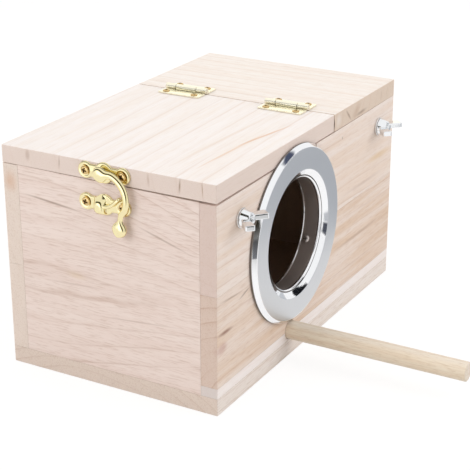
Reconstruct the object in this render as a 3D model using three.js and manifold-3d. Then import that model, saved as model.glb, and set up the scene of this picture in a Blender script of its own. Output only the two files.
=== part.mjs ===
// Parrot nest box: a glued wooden box with a hinged lid, a swing-hook latch, a turned entrance
// ring, a perch and two bolts with wing nuts that clamp it to the bars of a cage.
//
// Millimetres, +Z up. The origin is the centre of the underside. The latch end is at -X, the
// entrance is in the front, at -Y.

import * as THREE from "three";
import { mergeVertices } from "three/addons/utils/BufferGeometryUtils.js";
import Module from "manifold-3d";

// Box and boards
const boxLength = 200;
const boxDepth = 120;
const wallThickness = 9;
const baseThickness = 9;
const fixedTopThickness = 9.3;
const lidThickness = 9;
const lidLength = 121.8;
const hingeStripWidth = 9.8;
const lidHingeGap = 0.5;
const glueLine = 0.1;
const frontUpperSeamHeight = 61.7;
const frontLowerSeamHeight = 14.4;
const backSeamHeight = 55;

// Entrance ring
const entranceFromLatchEnd = 77;
const entranceBelowTop = 50;
const ringAbovePerch = 0.9;
const entranceBore = 57.4;
const sleeveWall = 1;
const sleeveClearance = 0.3;
const flangeDiameter = 92.8;
const flangeRimHeight = 1;
const flangeThickness = 3.3;
const faceDiameter = 89;
const counterboreDiameter = 66.8;
const counterboreFloorDiameter = 60.4;
const counterboreDepth = 2.1;
const grooveWidth = 0.6;
const grooveDepth = 0.5;
const lipSetback = 3.7;

// Screws that hold the ring, driven outwards from inside the sleeve
const ringScrewAngles = [-27, 93, 213];
const ringScrewDepth = 5.4;
const ringScrewSink = 0.3;
const ringScrew = {
  headDiameter: 4, headHeight: 1, shankDiameter: 1.8, shankLength: 6.6, tipLength: 1.4,
  recessSpan: 2.2, recessWidth: 0.5, recessDepth: 0.6,
};

// Perch
const perchDiameter = 10;
const perchReach = 97;
const perchFromLatchEnd = 74.5;
const perchAboveBase = 0.7;
const perchChamfer = 0.6;
const perchClearance = 0.3;

// Bolts, washers and wing nuts that clamp the box to a cage
const boltDiameter = 4;
const boltLength = 16;
const boltTipChamfer = 0.6;
const boltHeadDiameter = 8.6;
const boltHeadHeight = 2.4;
const boltSlotWidth = 1.1;
const boltSlotDepth = 1.1;
const boltHoleClearance = 0.3;
const boltLatchEndInset = 22.6;
const boltLatchEndBelowTop = 23.1;
const boltFarEndInset = 20.6;
const boltFarEndBelowTop = 22;
const washerDiameter = 10;
const washerThickness = 1;
const nutBaseDiameter = 8.4;
const nutTopDiameter = 6.6;
const nutHubHeight = 4.6;
const nutBoreClearance = 0.3;
const wingSpan = 20;
const wingHeight = 10.4;
const wingThickness = 2.8;
const wingEdgeRound = 0.4;
const wingTurnLatchEnd = 6;
const wingTurnFarEnd = 5;

// Butt hinges
const hingeFromFront = 27.6;
const hingeFromBack = 31.2;
const hingeLength = 25.4;
const hingeOpenWidth = 19.6;
const barrelDiameter = 3.2;
const leafThickness = 0.8;
const hingePinDiameter = 1.4;
const hingePinHead = 0.3;
const hingePinClearance = 0.25;
const middleKnuckleLength = 12.4;
const knuckleGap = 0.25;
const hingeScrewRow = 7.2;
const hingeScrewSpacing = 17.5;
const hingeScrew = {
  headDiameter: 3.8, headHeight: 0.6, shankDiameter: 1.8, shankLength: 7.5, tipLength: 2,
  recessSpan: 2, recessWidth: 0.5, recessDepth: 0.4,
};

// Swing-hook latch
const latchPlateBelowTop = 4.4;
const latchPlateThickness = 1.2;
const latchPlateRound = 0.3;
const latchScrewSpacing = 20.6;
const latchLobeRadius = 4.2;
const latchMiddleRadius = 5.2;
const latchNeckHalfWidth = 3.2;
const keeperBelowLatchPlate = 15.6;
const armUndersideHeight = 2.6;
const armThickness = 2;
const armRound = 0.6;
const armArcRadius = 11.8;
const armArcAcross = 2;
const armArcDrop = 10.8;
const armWidth = 4;
const armArcStart = 96;
const armArcEnd = -38;
const armBossRadius = 3.4;
const armBossHeight = 2.6;
const knobAcross = 9.8;
const knobDrop = 25.3;
const knobWidth = 8;
const knobHeight = 7.6;
const knobThickness = 3.4;
const knobNeckWidth = 3.2;
const rivetDiameter = 2.4;
const rivetHeadDiameter = 4.4;
const rivetHeadHeight = 0.5;
const rivetClearance = 0.3;
const rivetDepthInArm = 1.3;
const keeperBossWidth = 5.4;
const keeperBossAcross = -2.1;
const keeperBossHeight = 7.6;
const keeperBossRise = 3.2;
const keeperTongueReach = 9.2;
const keeperTongueRise = 5.2;
const keeperTongueWidth = 1.5;
const keeperTongueLift = 2;
const latchScrew = {
  headDiameter: 4.4, headHeight: 0.6, shankDiameter: 2, shankLength: 7.5, tipLength: 2,
  recessSpan: 2.4, recessWidth: 0.6, recessDepth: 0.4,
};

// Clearances shared by all the pieces
const seatGap = 0.1;
const pilotClearance = 0.15;
const cutOverrun = 1;

// Facets round each kind of round piece
const ringFacets = 72;
const perchFacets = 40;
const boltFacets = 24;
const washerFacets = 36;
const barrelFacets = 20;
const screwFacets = 12;
const knobFacets = 16;
const domeSteps = 4;
const arcSteps = 6;

// Places worked out from the sizes above. The front carries the perch just above the base, the
// ring just above the perch, and the roof above them, so these set the height of the box.
const halfLength = boxLength / 2;
const halfDepth = boxDepth / 2;
const perchHeight = baseThickness + perchAboveBase + perchDiameter / 2;
const entranceHeight = perchHeight + perchDiameter / 2 + ringAbovePerch + flangeDiameter / 2;
const boxHeight = entranceHeight + entranceBelowTop;
const latchPlateHeight = boxHeight - latchPlateBelowTop;
const keeperHeight = latchPlateHeight - keeperBelowLatchPlate;
const wallTop = boxHeight - fixedTopThickness - glueLine;
const wallFoot = baseThickness + glueLine;
const lidEnd = -halfLength + lidLength;
const stripStart = lidEnd + lidHingeGap;
const stripEnd = stripStart + hingeStripWidth;
const entranceX = -halfLength + entranceFromLatchEnd;
const perchX = -halfLength + perchFromLatchEnd;
const hingeAxisX = (lidEnd + stripStart) / 2;
const hingeAxisZ = boxHeight + seatGap + barrelDiameter / 2;
const sleeveRadius = entranceBore / 2 + sleeveWall;
const clamps = [{
  end: "latch_end",
  x: -halfLength + boltLatchEndInset,
  z: boxHeight - boltLatchEndBelowTop,
  turn: wingTurnLatchEnd,
}, {
  end: "far_end",
  x: halfLength - boltFarEndInset,
  z: boxHeight - boltFarEndBelowTop,
  turn: wingTurnFarEnd,
}];

const wasm = await Module();
wasm.setup();

// A closed geometry as a solid that can be joined and cut
function solidOf(geometry) {
  const bare = new THREE.BufferGeometry();
  bare.setAttribute("position", geometry.getAttribute("position").clone());
  if (geometry.index) {
    bare.setIndex(geometry.index.clone());
  }
  const merged = mergeVertices(bare);
  return new wasm.Manifold(new wasm.Mesh({
    numProp: 3,
    vertProperties: new Float32Array(merged.attributes.position.array),
    triVerts: new Uint32Array(merged.index.array),
  }));
}

function geometryOf(solid) {
  const mesh = solid.getMesh();
  const geometry = new THREE.BufferGeometry();
  geometry.setAttribute("position", new THREE.BufferAttribute(mesh.vertProperties, 3));
  geometry.setIndex(new THREE.BufferAttribute(mesh.triVerts, 1));
  return geometry;
}

function join(first, ...others) {
  return geometryOf(others.reduce((solid, other) => solid.add(solidOf(other)), solidOf(first)));
}

function cut(first, ...tools) {
  return geometryOf(tools.reduce((solid, tool) => solid.subtract(solidOf(tool)), solidOf(first)));
}

// A box between two corners
function boxBetween([x0, y0, z0], [x1, y1, z1]) {
  const box = new THREE.BoxGeometry(x1 - x0, y1 - y0, z1 - z0);
  return box.translate((x0 + x1) / 2, (y0 + y1) / 2, (z0 + z1) / 2);
}

// A solid of revolution about Z, from [radius, z] pairs that run up the outside
function turned(profile, facets) {
  const points = profile.map(([radius, z]) => new THREE.Vector2(radius, z));
  return new THREE.LatheGeometry(points, facets).rotateX(Math.PI / 2);
}

// A rod along Z between two heights
function rod(radius, z0, z1, facets) {
  return turned([[0, z0], [radius, z0], [radius, z1], [0, z1]], facets);
}

// The [radius, z] points of a shallow dome, from its rim up to its top
function dome(radius, z, height) {
  const points = [];
  for (let step = 0; step <= domeSteps; step += 1) {
    const angle = (Math.PI / 2) * (step / domeSteps);
    points.push([radius * Math.cos(angle), z + height * Math.sin(angle)]);
  }
  points[domeSteps][0] = 0;
  return points;
}

// A screw along Z: the head's flat underside is at zero, and the shank runs down from it
function screw(size) {
  const shank = size.shankDiameter / 2;
  const profile = [
    [0, -size.shankLength],
    [shank, -size.shankLength + size.tipLength],
    [shank, 0],
    ...dome(size.headDiameter / 2, 0, size.headHeight),
  ];
  const half = [size.recessSpan / 2, size.recessWidth / 2];
  const floor = size.headHeight - size.recessDepth;
  const top = size.headHeight + cutOverrun;
  const across = boxBetween([-half[0], -half[1], floor], [half[0], half[1], top]);
  const along = boxBetween([-half[1], -half[0], floor], [half[1], half[0], top]);
  return cut(turned(profile, screwFacets), join(across, along));
}

// The hole that a screw's shank leaves in what it is driven through
function pilot(size, depthAbove) {
  const radius = size.shankDiameter / 2 + pilotClearance;
  return rod(radius, -size.shankLength - pilotClearance, depthAbove, screwFacets);
}

const finishes = {
  paleWood: { color: 0xe9d9c8, roughness: 0.75, metalness: 0 },
  brownWood: { color: 0xdfc9b4, roughness: 0.75, metalness: 0 },
  perchWood: { color: 0xd9c3a3, roughness: 0.7, metalness: 0 },
  aluminium: { color: 0xc3c7ca, roughness: 0.3, metalness: 1 },
  zinc: { color: 0xd4d6d8, roughness: 0.25, metalness: 1 },
  brass: { color: 0xe3cf86, roughness: 0.18, metalness: 1 },
};

function piece(name, finish, geometry) {
  const mesh = new THREE.Mesh(geometry, new THREE.MeshStandardMaterial(finishes[finish]));
  mesh.name = name;
  return mesh;
}

// Frame of the front face: local X runs along the box, local Y up and local Z out of the face
function frontGroup() {
  const group = new THREE.Group();
  group.position.set(0, -halfDepth, 0);
  group.rotation.x = Math.PI / 2;
  return group;
}

// Frame of the latch end: local X runs to the front, local Y up and local Z out of the face
function latchEndGroup() {
  const group = new THREE.Group();
  const toFront = new THREE.Vector3(0, -1, 0);
  const up = new THREE.Vector3(0, 0, 1);
  const outwards = new THREE.Vector3(-1, 0, 0);
  group.quaternion.setFromRotationMatrix(new THREE.Matrix4().makeBasis(toFront, up, outwards));
  group.position.set(-halfLength, 0, 0);
  return group;
}

// Moves a geometry made in a group's frame into the frame of the part
function inPart(geometry, group) {
  group.updateMatrix();
  return geometry.clone().applyMatrix4(group.matrix);
}

// Entrance ring
function ringProfile() {
  const bore = entranceBore / 2;
  const flange = flangeDiameter / 2;
  const back = seatGap;
  const front = back + flangeThickness;
  const floor = front - counterboreDepth;
  const grooveOuter = counterboreFloorDiameter / 2;
  const grooveInner = grooveOuter - grooveWidth;
  const inner = -wallThickness;
  return [
    [sleeveRadius, inner],
    [sleeveRadius, back],
    [flange, back],
    [flange, back + flangeRimHeight],
    [faceDiameter / 2, front],
    [counterboreDiameter / 2, front],
    [grooveOuter, floor],
    [grooveOuter, floor - grooveDepth],
    [grooveInner, floor - grooveDepth],
    [grooveInner, floor],
    [bore, front - lipSetback],
    [bore, inner],
    [sleeveRadius, inner],
  ];
}

// Turns a screw made along Z so that it points outwards from the ring's axis at an angle
function aroundEntrance(geometry, radius, angle) {
  const turnedOut = geometry.clone().rotateX(Math.PI).translate(0, 0, radius);
  turnedOut.rotateY(Math.PI / 2).rotateZ(THREE.MathUtils.degToRad(angle));
  return turnedOut.translate(entranceX, entranceHeight, -ringScrewDepth);
}

const ringScrewSeat = entranceBore / 2 - ringScrewSink;

function makeEntrance() {
  const group = frontGroup();
  const ring = turned(ringProfile(), ringFacets).translate(entranceX, entranceHeight, 0);
  const holes = ringScrewAngles.map((angle) =>
    aroundEntrance(pilot(ringScrew, 0), ringScrewSeat, angle));
  group.add(piece("entrance_ring", "aluminium", cut(ring, ...holes)));
  ringScrewAngles.forEach((angle, index) => {
    const placed = aroundEntrance(screw(ringScrew), ringScrewSeat, angle);
    group.add(piece(`ring_screw_${index + 1}`, "zinc", placed));
  });
  return group;
}

// Perch, a dowel pushed through its hole until it is flush with the inside of the wall
function makePerch() {
  const radius = perchDiameter / 2;
  const profile = [
    [0, -wallThickness],
    [radius, -wallThickness],
    [radius, perchReach - perchChamfer],
    [radius - perchChamfer, perchReach],
    [0, perchReach],
  ];
  const group = frontGroup();
  const dowel = turned(profile, perchFacets).translate(perchX, perchHeight, 0);
  group.add(piece("perch", "perchWood", dowel));
  return group;
}

// One wing of the nut, as an outline in the plane of the nut's axis
function wingOutline() {
  const hubShares = { root: 0.25, foot: 0.2, shoulder: 0.9 };
  const shares = { heel: 0.62, heelHeight: 0.22, tipHeight: 0.6, inner: 0.7 };
  const root = nutTopDiameter * hubShares.root;
  const tip = wingSpan / 2;
  const heel = tip * shares.heel;
  const heelHeight = wingHeight * shares.heelHeight;
  const tipHeight = wingHeight * shares.tipHeight;
  const shape = new THREE.Shape();
  shape.moveTo(root, nutHubHeight * hubShares.foot);
  shape.lineTo(heel, heelHeight);
  shape.quadraticCurveTo(tip, heelHeight, tip, tipHeight);
  shape.quadraticCurveTo(tip, wingHeight, tip * shares.inner, wingHeight);
  shape.quadraticCurveTo(heel, tipHeight, root, nutHubHeight * hubShares.shoulder);
  shape.closePath();
  return shape;
}

function wing() {
  const geometry = new THREE.ExtrudeGeometry(wingOutline(), {
    depth: wingThickness - 2 * wingEdgeRound,
    bevelThickness: wingEdgeRound,
    bevelSize: wingEdgeRound,
    bevelOffset: -wingEdgeRound,
    bevelSegments: 1,
    curveSegments: 6,
  });
  geometry.translate(0, 0, -wingThickness / 2 + wingEdgeRound);
  return geometry.rotateX(Math.PI / 2);
}

function wingNut() {
  const hub = turned([
    [0, 0],
    [nutBaseDiameter / 2, 0],
    [nutTopDiameter / 2, nutHubHeight],
    [0, nutHubHeight],
  ], boltFacets);
  const boreRadius = boltDiameter / 2 + nutBoreClearance;
  const bore = rod(boreRadius, -cutOverrun, wingHeight + cutOverrun, boltFacets);
  const left = wing().rotateZ(Math.PI);
  return cut(join(hub, wing(), left), bore);
}

// Bolt along Z: the shank's end points out of the face, and the head is inside the box
function bolt() {
  const shank = boltDiameter / 2;
  const head = boltHeadDiameter / 2;
  const seat = -wallThickness - seatGap;
  const end = seat + boltLength;
  const profile = [
    ...dome(head, 0, -boltHeadHeight).reverse().map(([radius, z]) => [radius, z + seat]),
    [shank, seat],
    [shank, end - boltTipChamfer],
    [shank - boltTipChamfer, end],
    [0, end],
  ];
  const slotFloor = seat - boltHeadHeight + boltSlotDepth;
  const slot = boxBetween(
    [-head - cutOverrun, -boltSlotWidth / 2, seat - boltHeadHeight - cutOverrun],
    [head + cutOverrun, boltSlotWidth / 2, slotFloor],
  );
  return cut(turned(profile, boltFacets), slot);
}

function washer() {
  const hole = boltDiameter / 2 + boltHoleClearance;
  const outer = washerDiameter / 2;
  return turned([
    [outer, seatGap],
    [outer, seatGap + washerThickness],
    [hole, seatGap + washerThickness],
    [hole, seatGap],
    [outer, seatGap],
  ], washerFacets);
}

function makeClamp({ end, x, z, turn }) {
  const group = frontGroup();
  const boltMesh = piece(`clamp_bolt_${end}`, "zinc", bolt());
  const washerMesh = piece(`clamp_washer_${end}`, "zinc", washer());
  const nutMesh = piece(`wing_nut_${end}`, "zinc", wingNut());
  boltMesh.position.set(x, z, 0);
  washerMesh.position.set(x, z, 0);
  nutMesh.position.set(x, z, washerThickness + 2 * seatGap);
  nutMesh.rotation.z = THREE.MathUtils.degToRad(turn);
  group.add(boltMesh, washerMesh, nutMesh);
  return group;
}

// Hinges, made with the pin's axis along Y through the origin and the leaf towards +X
function alongY(geometry) {
  return geometry.rotateX(Math.PI / 2);
}

function knuckleSpans() {
  const end = hingeLength / 2;
  const middle = middleKnuckleLength / 2;
  return {
    middle: [[-middle, middle]],
    outer: [[-end, -middle - knuckleGap], [middle + knuckleGap, end]],
  };
}

function hingeScrewPlaces() {
  const half = hingeScrewSpacing / 2;
  return [[hingeScrewRow, -half], [hingeScrewRow, half]];
}

function hingeLeaf(ownSpans, otherSpans) {
  const barrel = barrelDiameter / 2;
  const end = hingeLength / 2;
  const plate = boxBetween([0, -end, -barrel], [hingeOpenWidth / 2, end, -barrel + leafThickness]);
  const knuckles = ownSpans.map(([y0, y1]) => alongY(rod(barrel, y0, y1, barrelFacets)));
  const notches = otherSpans.map(([y0, y1]) => boxBetween(
    [-cutOverrun, y0 - knuckleGap, -barrel - cutOverrun],
    [barrel + knuckleGap, y1 + knuckleGap, barrel],
  ));
  const bore = hingePinDiameter / 2 + hingePinClearance;
  const pinHole = alongY(rod(bore, -end - cutOverrun, end + cutOverrun, barrelFacets));
  const screwHoles = hingeScrewPlaces().map(([x, y]) =>
    rod(hingeScrew.shankDiameter / 2 + pilotClearance, -barrel - cutOverrun, barrel, screwFacets)
      .translate(x, y, 0));
  return cut(join(cut(plate, ...notches), ...knuckles), pinHole, ...screwHoles);
}

function hingePin() {
  const radius = hingePinDiameter / 2;
  const end = hingeLength / 2;
  return alongY(turned([
    [0, -end - hingePinHead],
    [radius, -end],
    [radius, end],
    [0, end + hingePinHead],
  ], barrelFacets));
}

// The fixed leaf carries the outer knuckles and the lid's leaf the middle one
function makeHinge(place, y) {
  const spans = knuckleSpans();
  const group = new THREE.Group();
  group.position.set(hingeAxisX, y, hingeAxisZ);
  const lidSide = new THREE.Group();
  lidSide.rotation.z = Math.PI;
  group.add(piece(`hinge_${place}_fixed_leaf`, "brass", hingeLeaf(spans.outer, spans.middle)));
  group.add(piece(`hinge_${place}_pin`, "brass", hingePin()));
  lidSide.add(piece(`hinge_${place}_lid_leaf`, "brass", hingeLeaf(spans.middle, spans.outer)));
  const seat = -barrelDiameter / 2 + leafThickness + seatGap;
  hingeScrewPlaces().forEach(([x, screwY], index) => {
    const fixedScrew = piece(`hinge_${place}_fixed_screw_${index + 1}`, "brass", screw(hingeScrew));
    const lidScrew = piece(`hinge_${place}_lid_screw_${index + 1}`, "brass", screw(hingeScrew));
    fixedScrew.position.set(x, screwY, seat);
    lidScrew.position.set(x, screwY, seat);
    group.add(fixedScrew);
    lidSide.add(lidScrew);
  });
  group.add(lidSide);
  return group;
}

const hingePlaces = [["front", -halfDepth + hingeFromFront], ["back", halfDepth - hingeFromBack]];

// Pilot holes under a hinge's leaves, on the side that the sign gives
function hingePilots(side) {
  const headSeat = boxHeight + leafThickness + 2 * seatGap;
  return hingePlaces.flatMap(([, y]) => hingeScrewPlaces().map(([x, screwY]) =>
    pilot(hingeScrew, cutOverrun).translate(hingeAxisX + side * x, y + screwY, headSeat)));
}

// Outline of the latch's plates: a round lobe for each screw and a larger one in the middle
function lobedPlate() {
  const lobe = Math.asin(latchNeckHalfWidth / latchLobeRadius);
  const middle = Math.asin(latchNeckHalfWidth / latchMiddleRadius);
  const half = latchScrewSpacing / 2;
  const shape = new THREE.Shape();
  shape.absarc(half, 0, latchLobeRadius, -Math.PI + lobe, Math.PI - lobe, false);
  shape.absarc(0, 0, latchMiddleRadius, middle, Math.PI - middle, false);
  shape.absarc(-half, 0, latchLobeRadius, lobe, 2 * Math.PI - lobe, false);
  shape.absarc(0, 0, latchMiddleRadius, Math.PI + middle, 2 * Math.PI - middle, false);
  shape.closePath();
  return new THREE.ExtrudeGeometry(shape, {
    depth: latchPlateThickness - latchPlateRound,
    bevelThickness: latchPlateRound,
    bevelSize: latchPlateRound,
    bevelOffset: -latchPlateRound,
    bevelSegments: 1,
    curveSegments: arcSteps,
  }).translate(0, 0, seatGap + latchPlateRound);
}

// Cuts away what the plate's rear bevel leaves behind the seat
function latchScrewHoles() {
  const radius = latchScrew.shankDiameter / 2 + pilotClearance;
  return [-1, 1].map((side) =>
    rod(radius, -cutOverrun, latchPlateThickness + cutOverrun, screwFacets)
      .translate(side * latchScrewSpacing / 2, 0, 0));
}

const latchScrewSeat = latchPlateThickness + 2 * seatGap + latchPlateRound;

function latchPlate() {
  const shankHole = rivetDiameter / 2 + rivetClearance;
  const headHole = rivetHeadDiameter / 2 + rivetClearance;
  const headDepth = rivetHeadHeight + 2 * seatGap;
  return cut(
    lobedPlate(),
    rod(shankHole, -cutOverrun, armUndersideHeight, screwFacets),
    rod(headHole, -cutOverrun, headDepth, screwFacets),
    ...latchScrewHoles(),
  );
}

function latchRivet() {
  const head = rivetHeadDiameter / 2;
  const shank = rivetDiameter / 2;
  const end = armUndersideHeight + rivetDepthInArm;
  return turned([
    [0, seatGap],
    [head, seatGap],
    [head, seatGap + rivetHeadHeight],
    [shank, seatGap + rivetHeadHeight],
    [shank, end],
    [0, end],
  ], screwFacets);
}

// The hook: an arc from the pivot's boss round to the front, then a neck down to the knob.
// It is drawn about the pivot, in the plane of the latch end.
function armOutline() {
  const start = THREE.MathUtils.degToRad(armArcStart);
  const finish = THREE.MathUtils.degToRad(armArcEnd);
  const half = armWidth / 2;
  const shape = new THREE.Shape();
  shape.absarc(armArcAcross, -armArcDrop, armArcRadius + half, start, finish, true);
  shape.lineTo(knobAcross + knobNeckWidth / 2, -knobDrop);
  shape.lineTo(knobAcross - knobNeckWidth / 2, -knobDrop);
  shape.absarc(armArcAcross, -armArcDrop, armArcRadius - half, finish, start, false);
  shape.closePath();
  return shape;
}

function latchArm() {
  const bar = new THREE.ExtrudeGeometry(armOutline(), {
    depth: armThickness - 2 * armRound,
    bevelThickness: armRound,
    bevelSize: armRound,
    bevelOffset: -armRound,
    bevelSegments: 2,
    curveSegments: arcSteps,
  }).translate(0, 0, armUndersideHeight + armRound);
  const boss = turned([
    [0, armUndersideHeight],
    [armBossRadius, armUndersideHeight],
    ...dome(armBossRadius, armUndersideHeight + armThickness / 2, armBossHeight - armThickness / 2),
  ], screwFacets);
  const knob = new THREE.SphereGeometry(1, knobFacets, knobFacets / 2);
  knob.scale(knobWidth / 2, knobHeight / 2, knobThickness / 2);
  knob.translate(knobAcross, -knobDrop, armUndersideHeight + armThickness / 2);
  const rivetBore = rod(
    rivetDiameter / 2 + rivetClearance,
    armUndersideHeight - cutOverrun,
    armUndersideHeight + rivetDepthInArm + rivetClearance,
    screwFacets,
  );
  return cut(join(bar, boss, knob), rivetBore);
}

// The keeper's raised boss, with an arched top, and the tongue that the hook closes on
function latchKeeper() {
  const options = { bevelEnabled: false, curveSegments: arcSteps };
  const top = seatGap + latchPlateThickness;
  const boss = new THREE.Shape();
  const bossHalf = keeperBossWidth / 2;
  const bossFoot = -latchMiddleRadius + bossHalf;
  const bossTop = -latchMiddleRadius + keeperBossHeight;
  boss.moveTo(keeperBossAcross - bossHalf, bossFoot);
  boss.lineTo(keeperBossAcross + bossHalf, bossFoot);
  boss.absarc(keeperBossAcross, bossTop, bossHalf, 0, Math.PI, false);
  boss.closePath();
  const tongue = new THREE.Shape();
  const bendShares = { across: 0.55, rise: 0.1 };
  const rootX = keeperBossAcross;
  const half = keeperTongueWidth / 2;
  const bendX = keeperTongueReach * bendShares.across;
  const bendY = keeperTongueRise * bendShares.rise;
  tongue.moveTo(rootX, -half);
  tongue.quadraticCurveTo(bendX + half, bendY - half, keeperTongueReach + half, keeperTongueRise);
  tongue.lineTo(keeperTongueReach - half, keeperTongueRise + half);
  tongue.quadraticCurveTo(bendX - half, bendY + half, rootX, half);
  tongue.closePath();
  const bossSolid = new THREE.ExtrudeGeometry(boss, { ...options, depth: keeperBossRise })
    .translate(0, 0, top - latchPlateRound);
  const tongueSolid = new THREE.ExtrudeGeometry(tongue, { ...options, depth: keeperTongueLift })
    .translate(0, 0, top - latchPlateRound);
  return cut(join(lobedPlate(), bossSolid, tongueSolid), ...latchScrewHoles());
}

function makeLatch() {
  const group = latchEndGroup();
  const upper = piece("latch_plate", "brass", latchPlate());
  const rivet = piece("latch_rivet", "brass", latchRivet());
  const arm = piece("latch_arm", "brass", latchArm());
  const keeper = piece("latch_keeper", "brass", latchKeeper());
  [upper, rivet, arm].forEach((mesh) => mesh.position.set(0, latchPlateHeight, 0));
  keeper.position.set(0, keeperHeight, 0);
  group.add(upper, rivet, arm, keeper);
  [["latch_plate", latchPlateHeight], ["keeper", keeperHeight]].forEach(([name, height]) => {
    [["back", -1], ["front", 1]].forEach(([side, sign]) => {
      const mesh = piece(`${name}_screw_${side}`, "brass", screw(latchScrew));
      mesh.position.set(sign * latchScrewSpacing / 2, height, latchScrewSeat);
      group.add(mesh);
    });
  });
  return group;
}

function latchPilots(height) {
  return [-1, 1].map((sign) => {
    const hole = pilot(latchScrew, cutOverrun);
    hole.translate(sign * latchScrewSpacing / 2, height, latchScrewSeat);
    return inPart(hole, latchEndGroup());
  });
}

// Holes through the front: for the ring's sleeve, its screws, the perch and the clamp bolts
function frontHoles() {
  const inside = -wallThickness - cutOverrun;
  const holes = [
    rod(sleeveRadius + sleeveClearance, inside, cutOverrun, ringFacets)
      .translate(entranceX, entranceHeight, 0),
    rod(perchDiameter / 2 + perchClearance, inside, cutOverrun, perchFacets)
      .translate(perchX, perchHeight, 0),
    ...clamps.map(({ x, z }) =>
      rod(boltDiameter / 2 + boltHoleClearance, inside, cutOverrun, boltFacets).translate(x, z, 0)),
    ...ringScrewAngles.map((angle) => aroundEntrance(pilot(ringScrew, 0), ringScrewSeat, angle)),
  ];
  return holes.map((hole) => inPart(hole, frontGroup()));
}

// A wall edge-glued from staves, with a glue line at each seam
function staves(names, finishNames, heights, y0, y1, holes) {
  return names.map((name, index) => {
    const low = heights[index] + (index === 0 ? 0 : glueLine / 2);
    const high = heights[index + 1] - (index === names.length - 1 ? 0 : glueLine / 2);
    const stave = boxBetween([-halfLength, y0, low], [halfLength, y1, high]);
    return piece(name, finishNames[index], holes.length ? cut(stave, ...holes) : stave);
  });
}

function makeBoards() {
  const innerDepth = halfDepth - wallThickness - glueLine;
  const latchEndWall = boxBetween(
    [-halfLength, -innerDepth, wallFoot], [-halfLength + wallThickness, innerDepth, wallTop]);
  const farEndWall = boxBetween(
    [halfLength - wallThickness, -innerDepth, wallFoot], [halfLength, innerDepth, wallTop]);
  const lid = boxBetween(
    [-halfLength, -halfDepth, boxHeight - lidThickness], [lidEnd, halfDepth, boxHeight]);
  const stripLow = boxHeight - fixedTopThickness;
  const strip = boxBetween([stripStart, -halfDepth, stripLow], [stripEnd, halfDepth, boxHeight]);
  return [
    piece("base_board", "paleWood",
      boxBetween([-halfLength, -halfDepth, 0], [halfLength, halfDepth, baseThickness])),
    ...staves(
      ["front_panel_bottom", "front_panel_middle", "front_panel_upper"],
      ["paleWood", "brownWood", "paleWood"],
      [wallFoot, frontLowerSeamHeight, frontUpperSeamHeight, wallTop],
      -halfDepth, -halfDepth + wallThickness, frontHoles(),
    ),
    ...staves(
      ["back_panel_lower", "back_panel_upper"], ["paleWood", "paleWood"],
      [wallFoot, backSeamHeight, wallTop], halfDepth - wallThickness, halfDepth, [],
    ),
    piece("clasp_end_panel", "paleWood", cut(latchEndWall, ...latchPilots(keeperHeight))),
    piece("far_end_panel", "paleWood", farEndWall),
    piece("lid_board", "paleWood", cut(lid, ...hingePilots(-1), ...latchPilots(latchPlateHeight))),
    piece("hinge_strip", "paleWood", cut(strip, ...hingePilots(1))),
    piece("fixed_top_board", "paleWood",
      boxBetween([stripEnd + glueLine, -halfDepth, stripLow], [halfLength, halfDepth, boxHeight])),
  ];
}

const group = new THREE.Group();
group.add(...makeBoards());
group.add(makeEntrance());
group.add(makePerch());
group.add(...clamps.map(makeClamp));
group.add(...hingePlaces.map(([place, y]) => makeHinge(place, y)));
group.add(makeLatch());

export default group;
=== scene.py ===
"""The looks of a parrot nest box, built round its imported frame.

The box is raw pale paulownia, glued from boards, with a hinged lid, a polished entrance ring, a
dowel perch, two clamp bolts with wing nuts, brass hinges and a brass swing-hook latch. Sizes are in
millimetres and angles in degrees. The box stands on Z = 0 with its entrance in the front, at -Y,
and its latch at the -X end.
"""

from __future__ import annotations

import logging
import math
from dataclasses import dataclass, replace
from enum import Enum
from functools import cache

import bmesh
import bpy
import numpy as np
from mathutils import Matrix, Vector


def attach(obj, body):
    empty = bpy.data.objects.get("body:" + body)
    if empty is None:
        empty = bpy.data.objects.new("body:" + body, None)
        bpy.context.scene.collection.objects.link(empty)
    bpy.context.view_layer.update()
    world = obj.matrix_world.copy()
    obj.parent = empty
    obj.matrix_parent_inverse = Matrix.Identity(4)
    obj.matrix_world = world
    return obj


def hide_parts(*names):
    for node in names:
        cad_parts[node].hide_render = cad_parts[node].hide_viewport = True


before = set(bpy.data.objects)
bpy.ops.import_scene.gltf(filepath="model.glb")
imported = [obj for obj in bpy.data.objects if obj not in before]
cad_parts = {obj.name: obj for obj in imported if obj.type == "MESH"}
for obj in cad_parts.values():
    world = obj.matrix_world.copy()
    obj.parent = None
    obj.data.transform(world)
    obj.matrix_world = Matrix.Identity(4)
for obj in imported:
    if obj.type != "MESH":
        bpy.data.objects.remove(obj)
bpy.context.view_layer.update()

LOG = logging.getLogger("nest_box")
Points = np.ndarray
Triple = tuple[float, float, float]
Tree = bpy.types.NodeTree
Node = bpy.types.Node
Socket = bpy.types.NodeSocket

MM = 0.001
TURN = 2 * math.pi
# Places closer than this are taken as one, and vertices closer than this are merged
NEAR, MERGE = 0.01, 0.001
# The corners of the block that the boards make, and of the chamber inside it
BLOCK_LOW, BLOCK_HIGH = (-100.0, -60.0, 0.0), (100.0, 60.0, 117.0)
CAVITY_LOW, CAVITY_HIGH = (-91.2, -51.2, 8.8), (91.2, 51.2, 107.75)
# Pieces stand this far off what they are fastened to, so that no two faces share a place
SEAT_GAP = 0.1


class Axis(Enum):
    """A direction of the box: its way, and the turn that lays a pattern's X along it."""

    LENGTH = ((1.0, 0.0, 0.0), (0.0, 0.0, 0.0))
    DEPTH = ((0.0, 1.0, 0.0), (0.0, 0.0, TURN / 4))
    HEIGHT = ((0.0, 0.0, 1.0), (0.0, -TURN / 4, 0.0))

    def __init__(self, way: Triple, turn: Triple) -> None:
        """Keeps the way and the turn, which is in radians."""
        self.way, self.turn = way, turn


class Recess(Enum):
    """What a screwdriver turns a screw's head by."""

    CROSS = "cross"
    SLOT = "slot"


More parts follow.
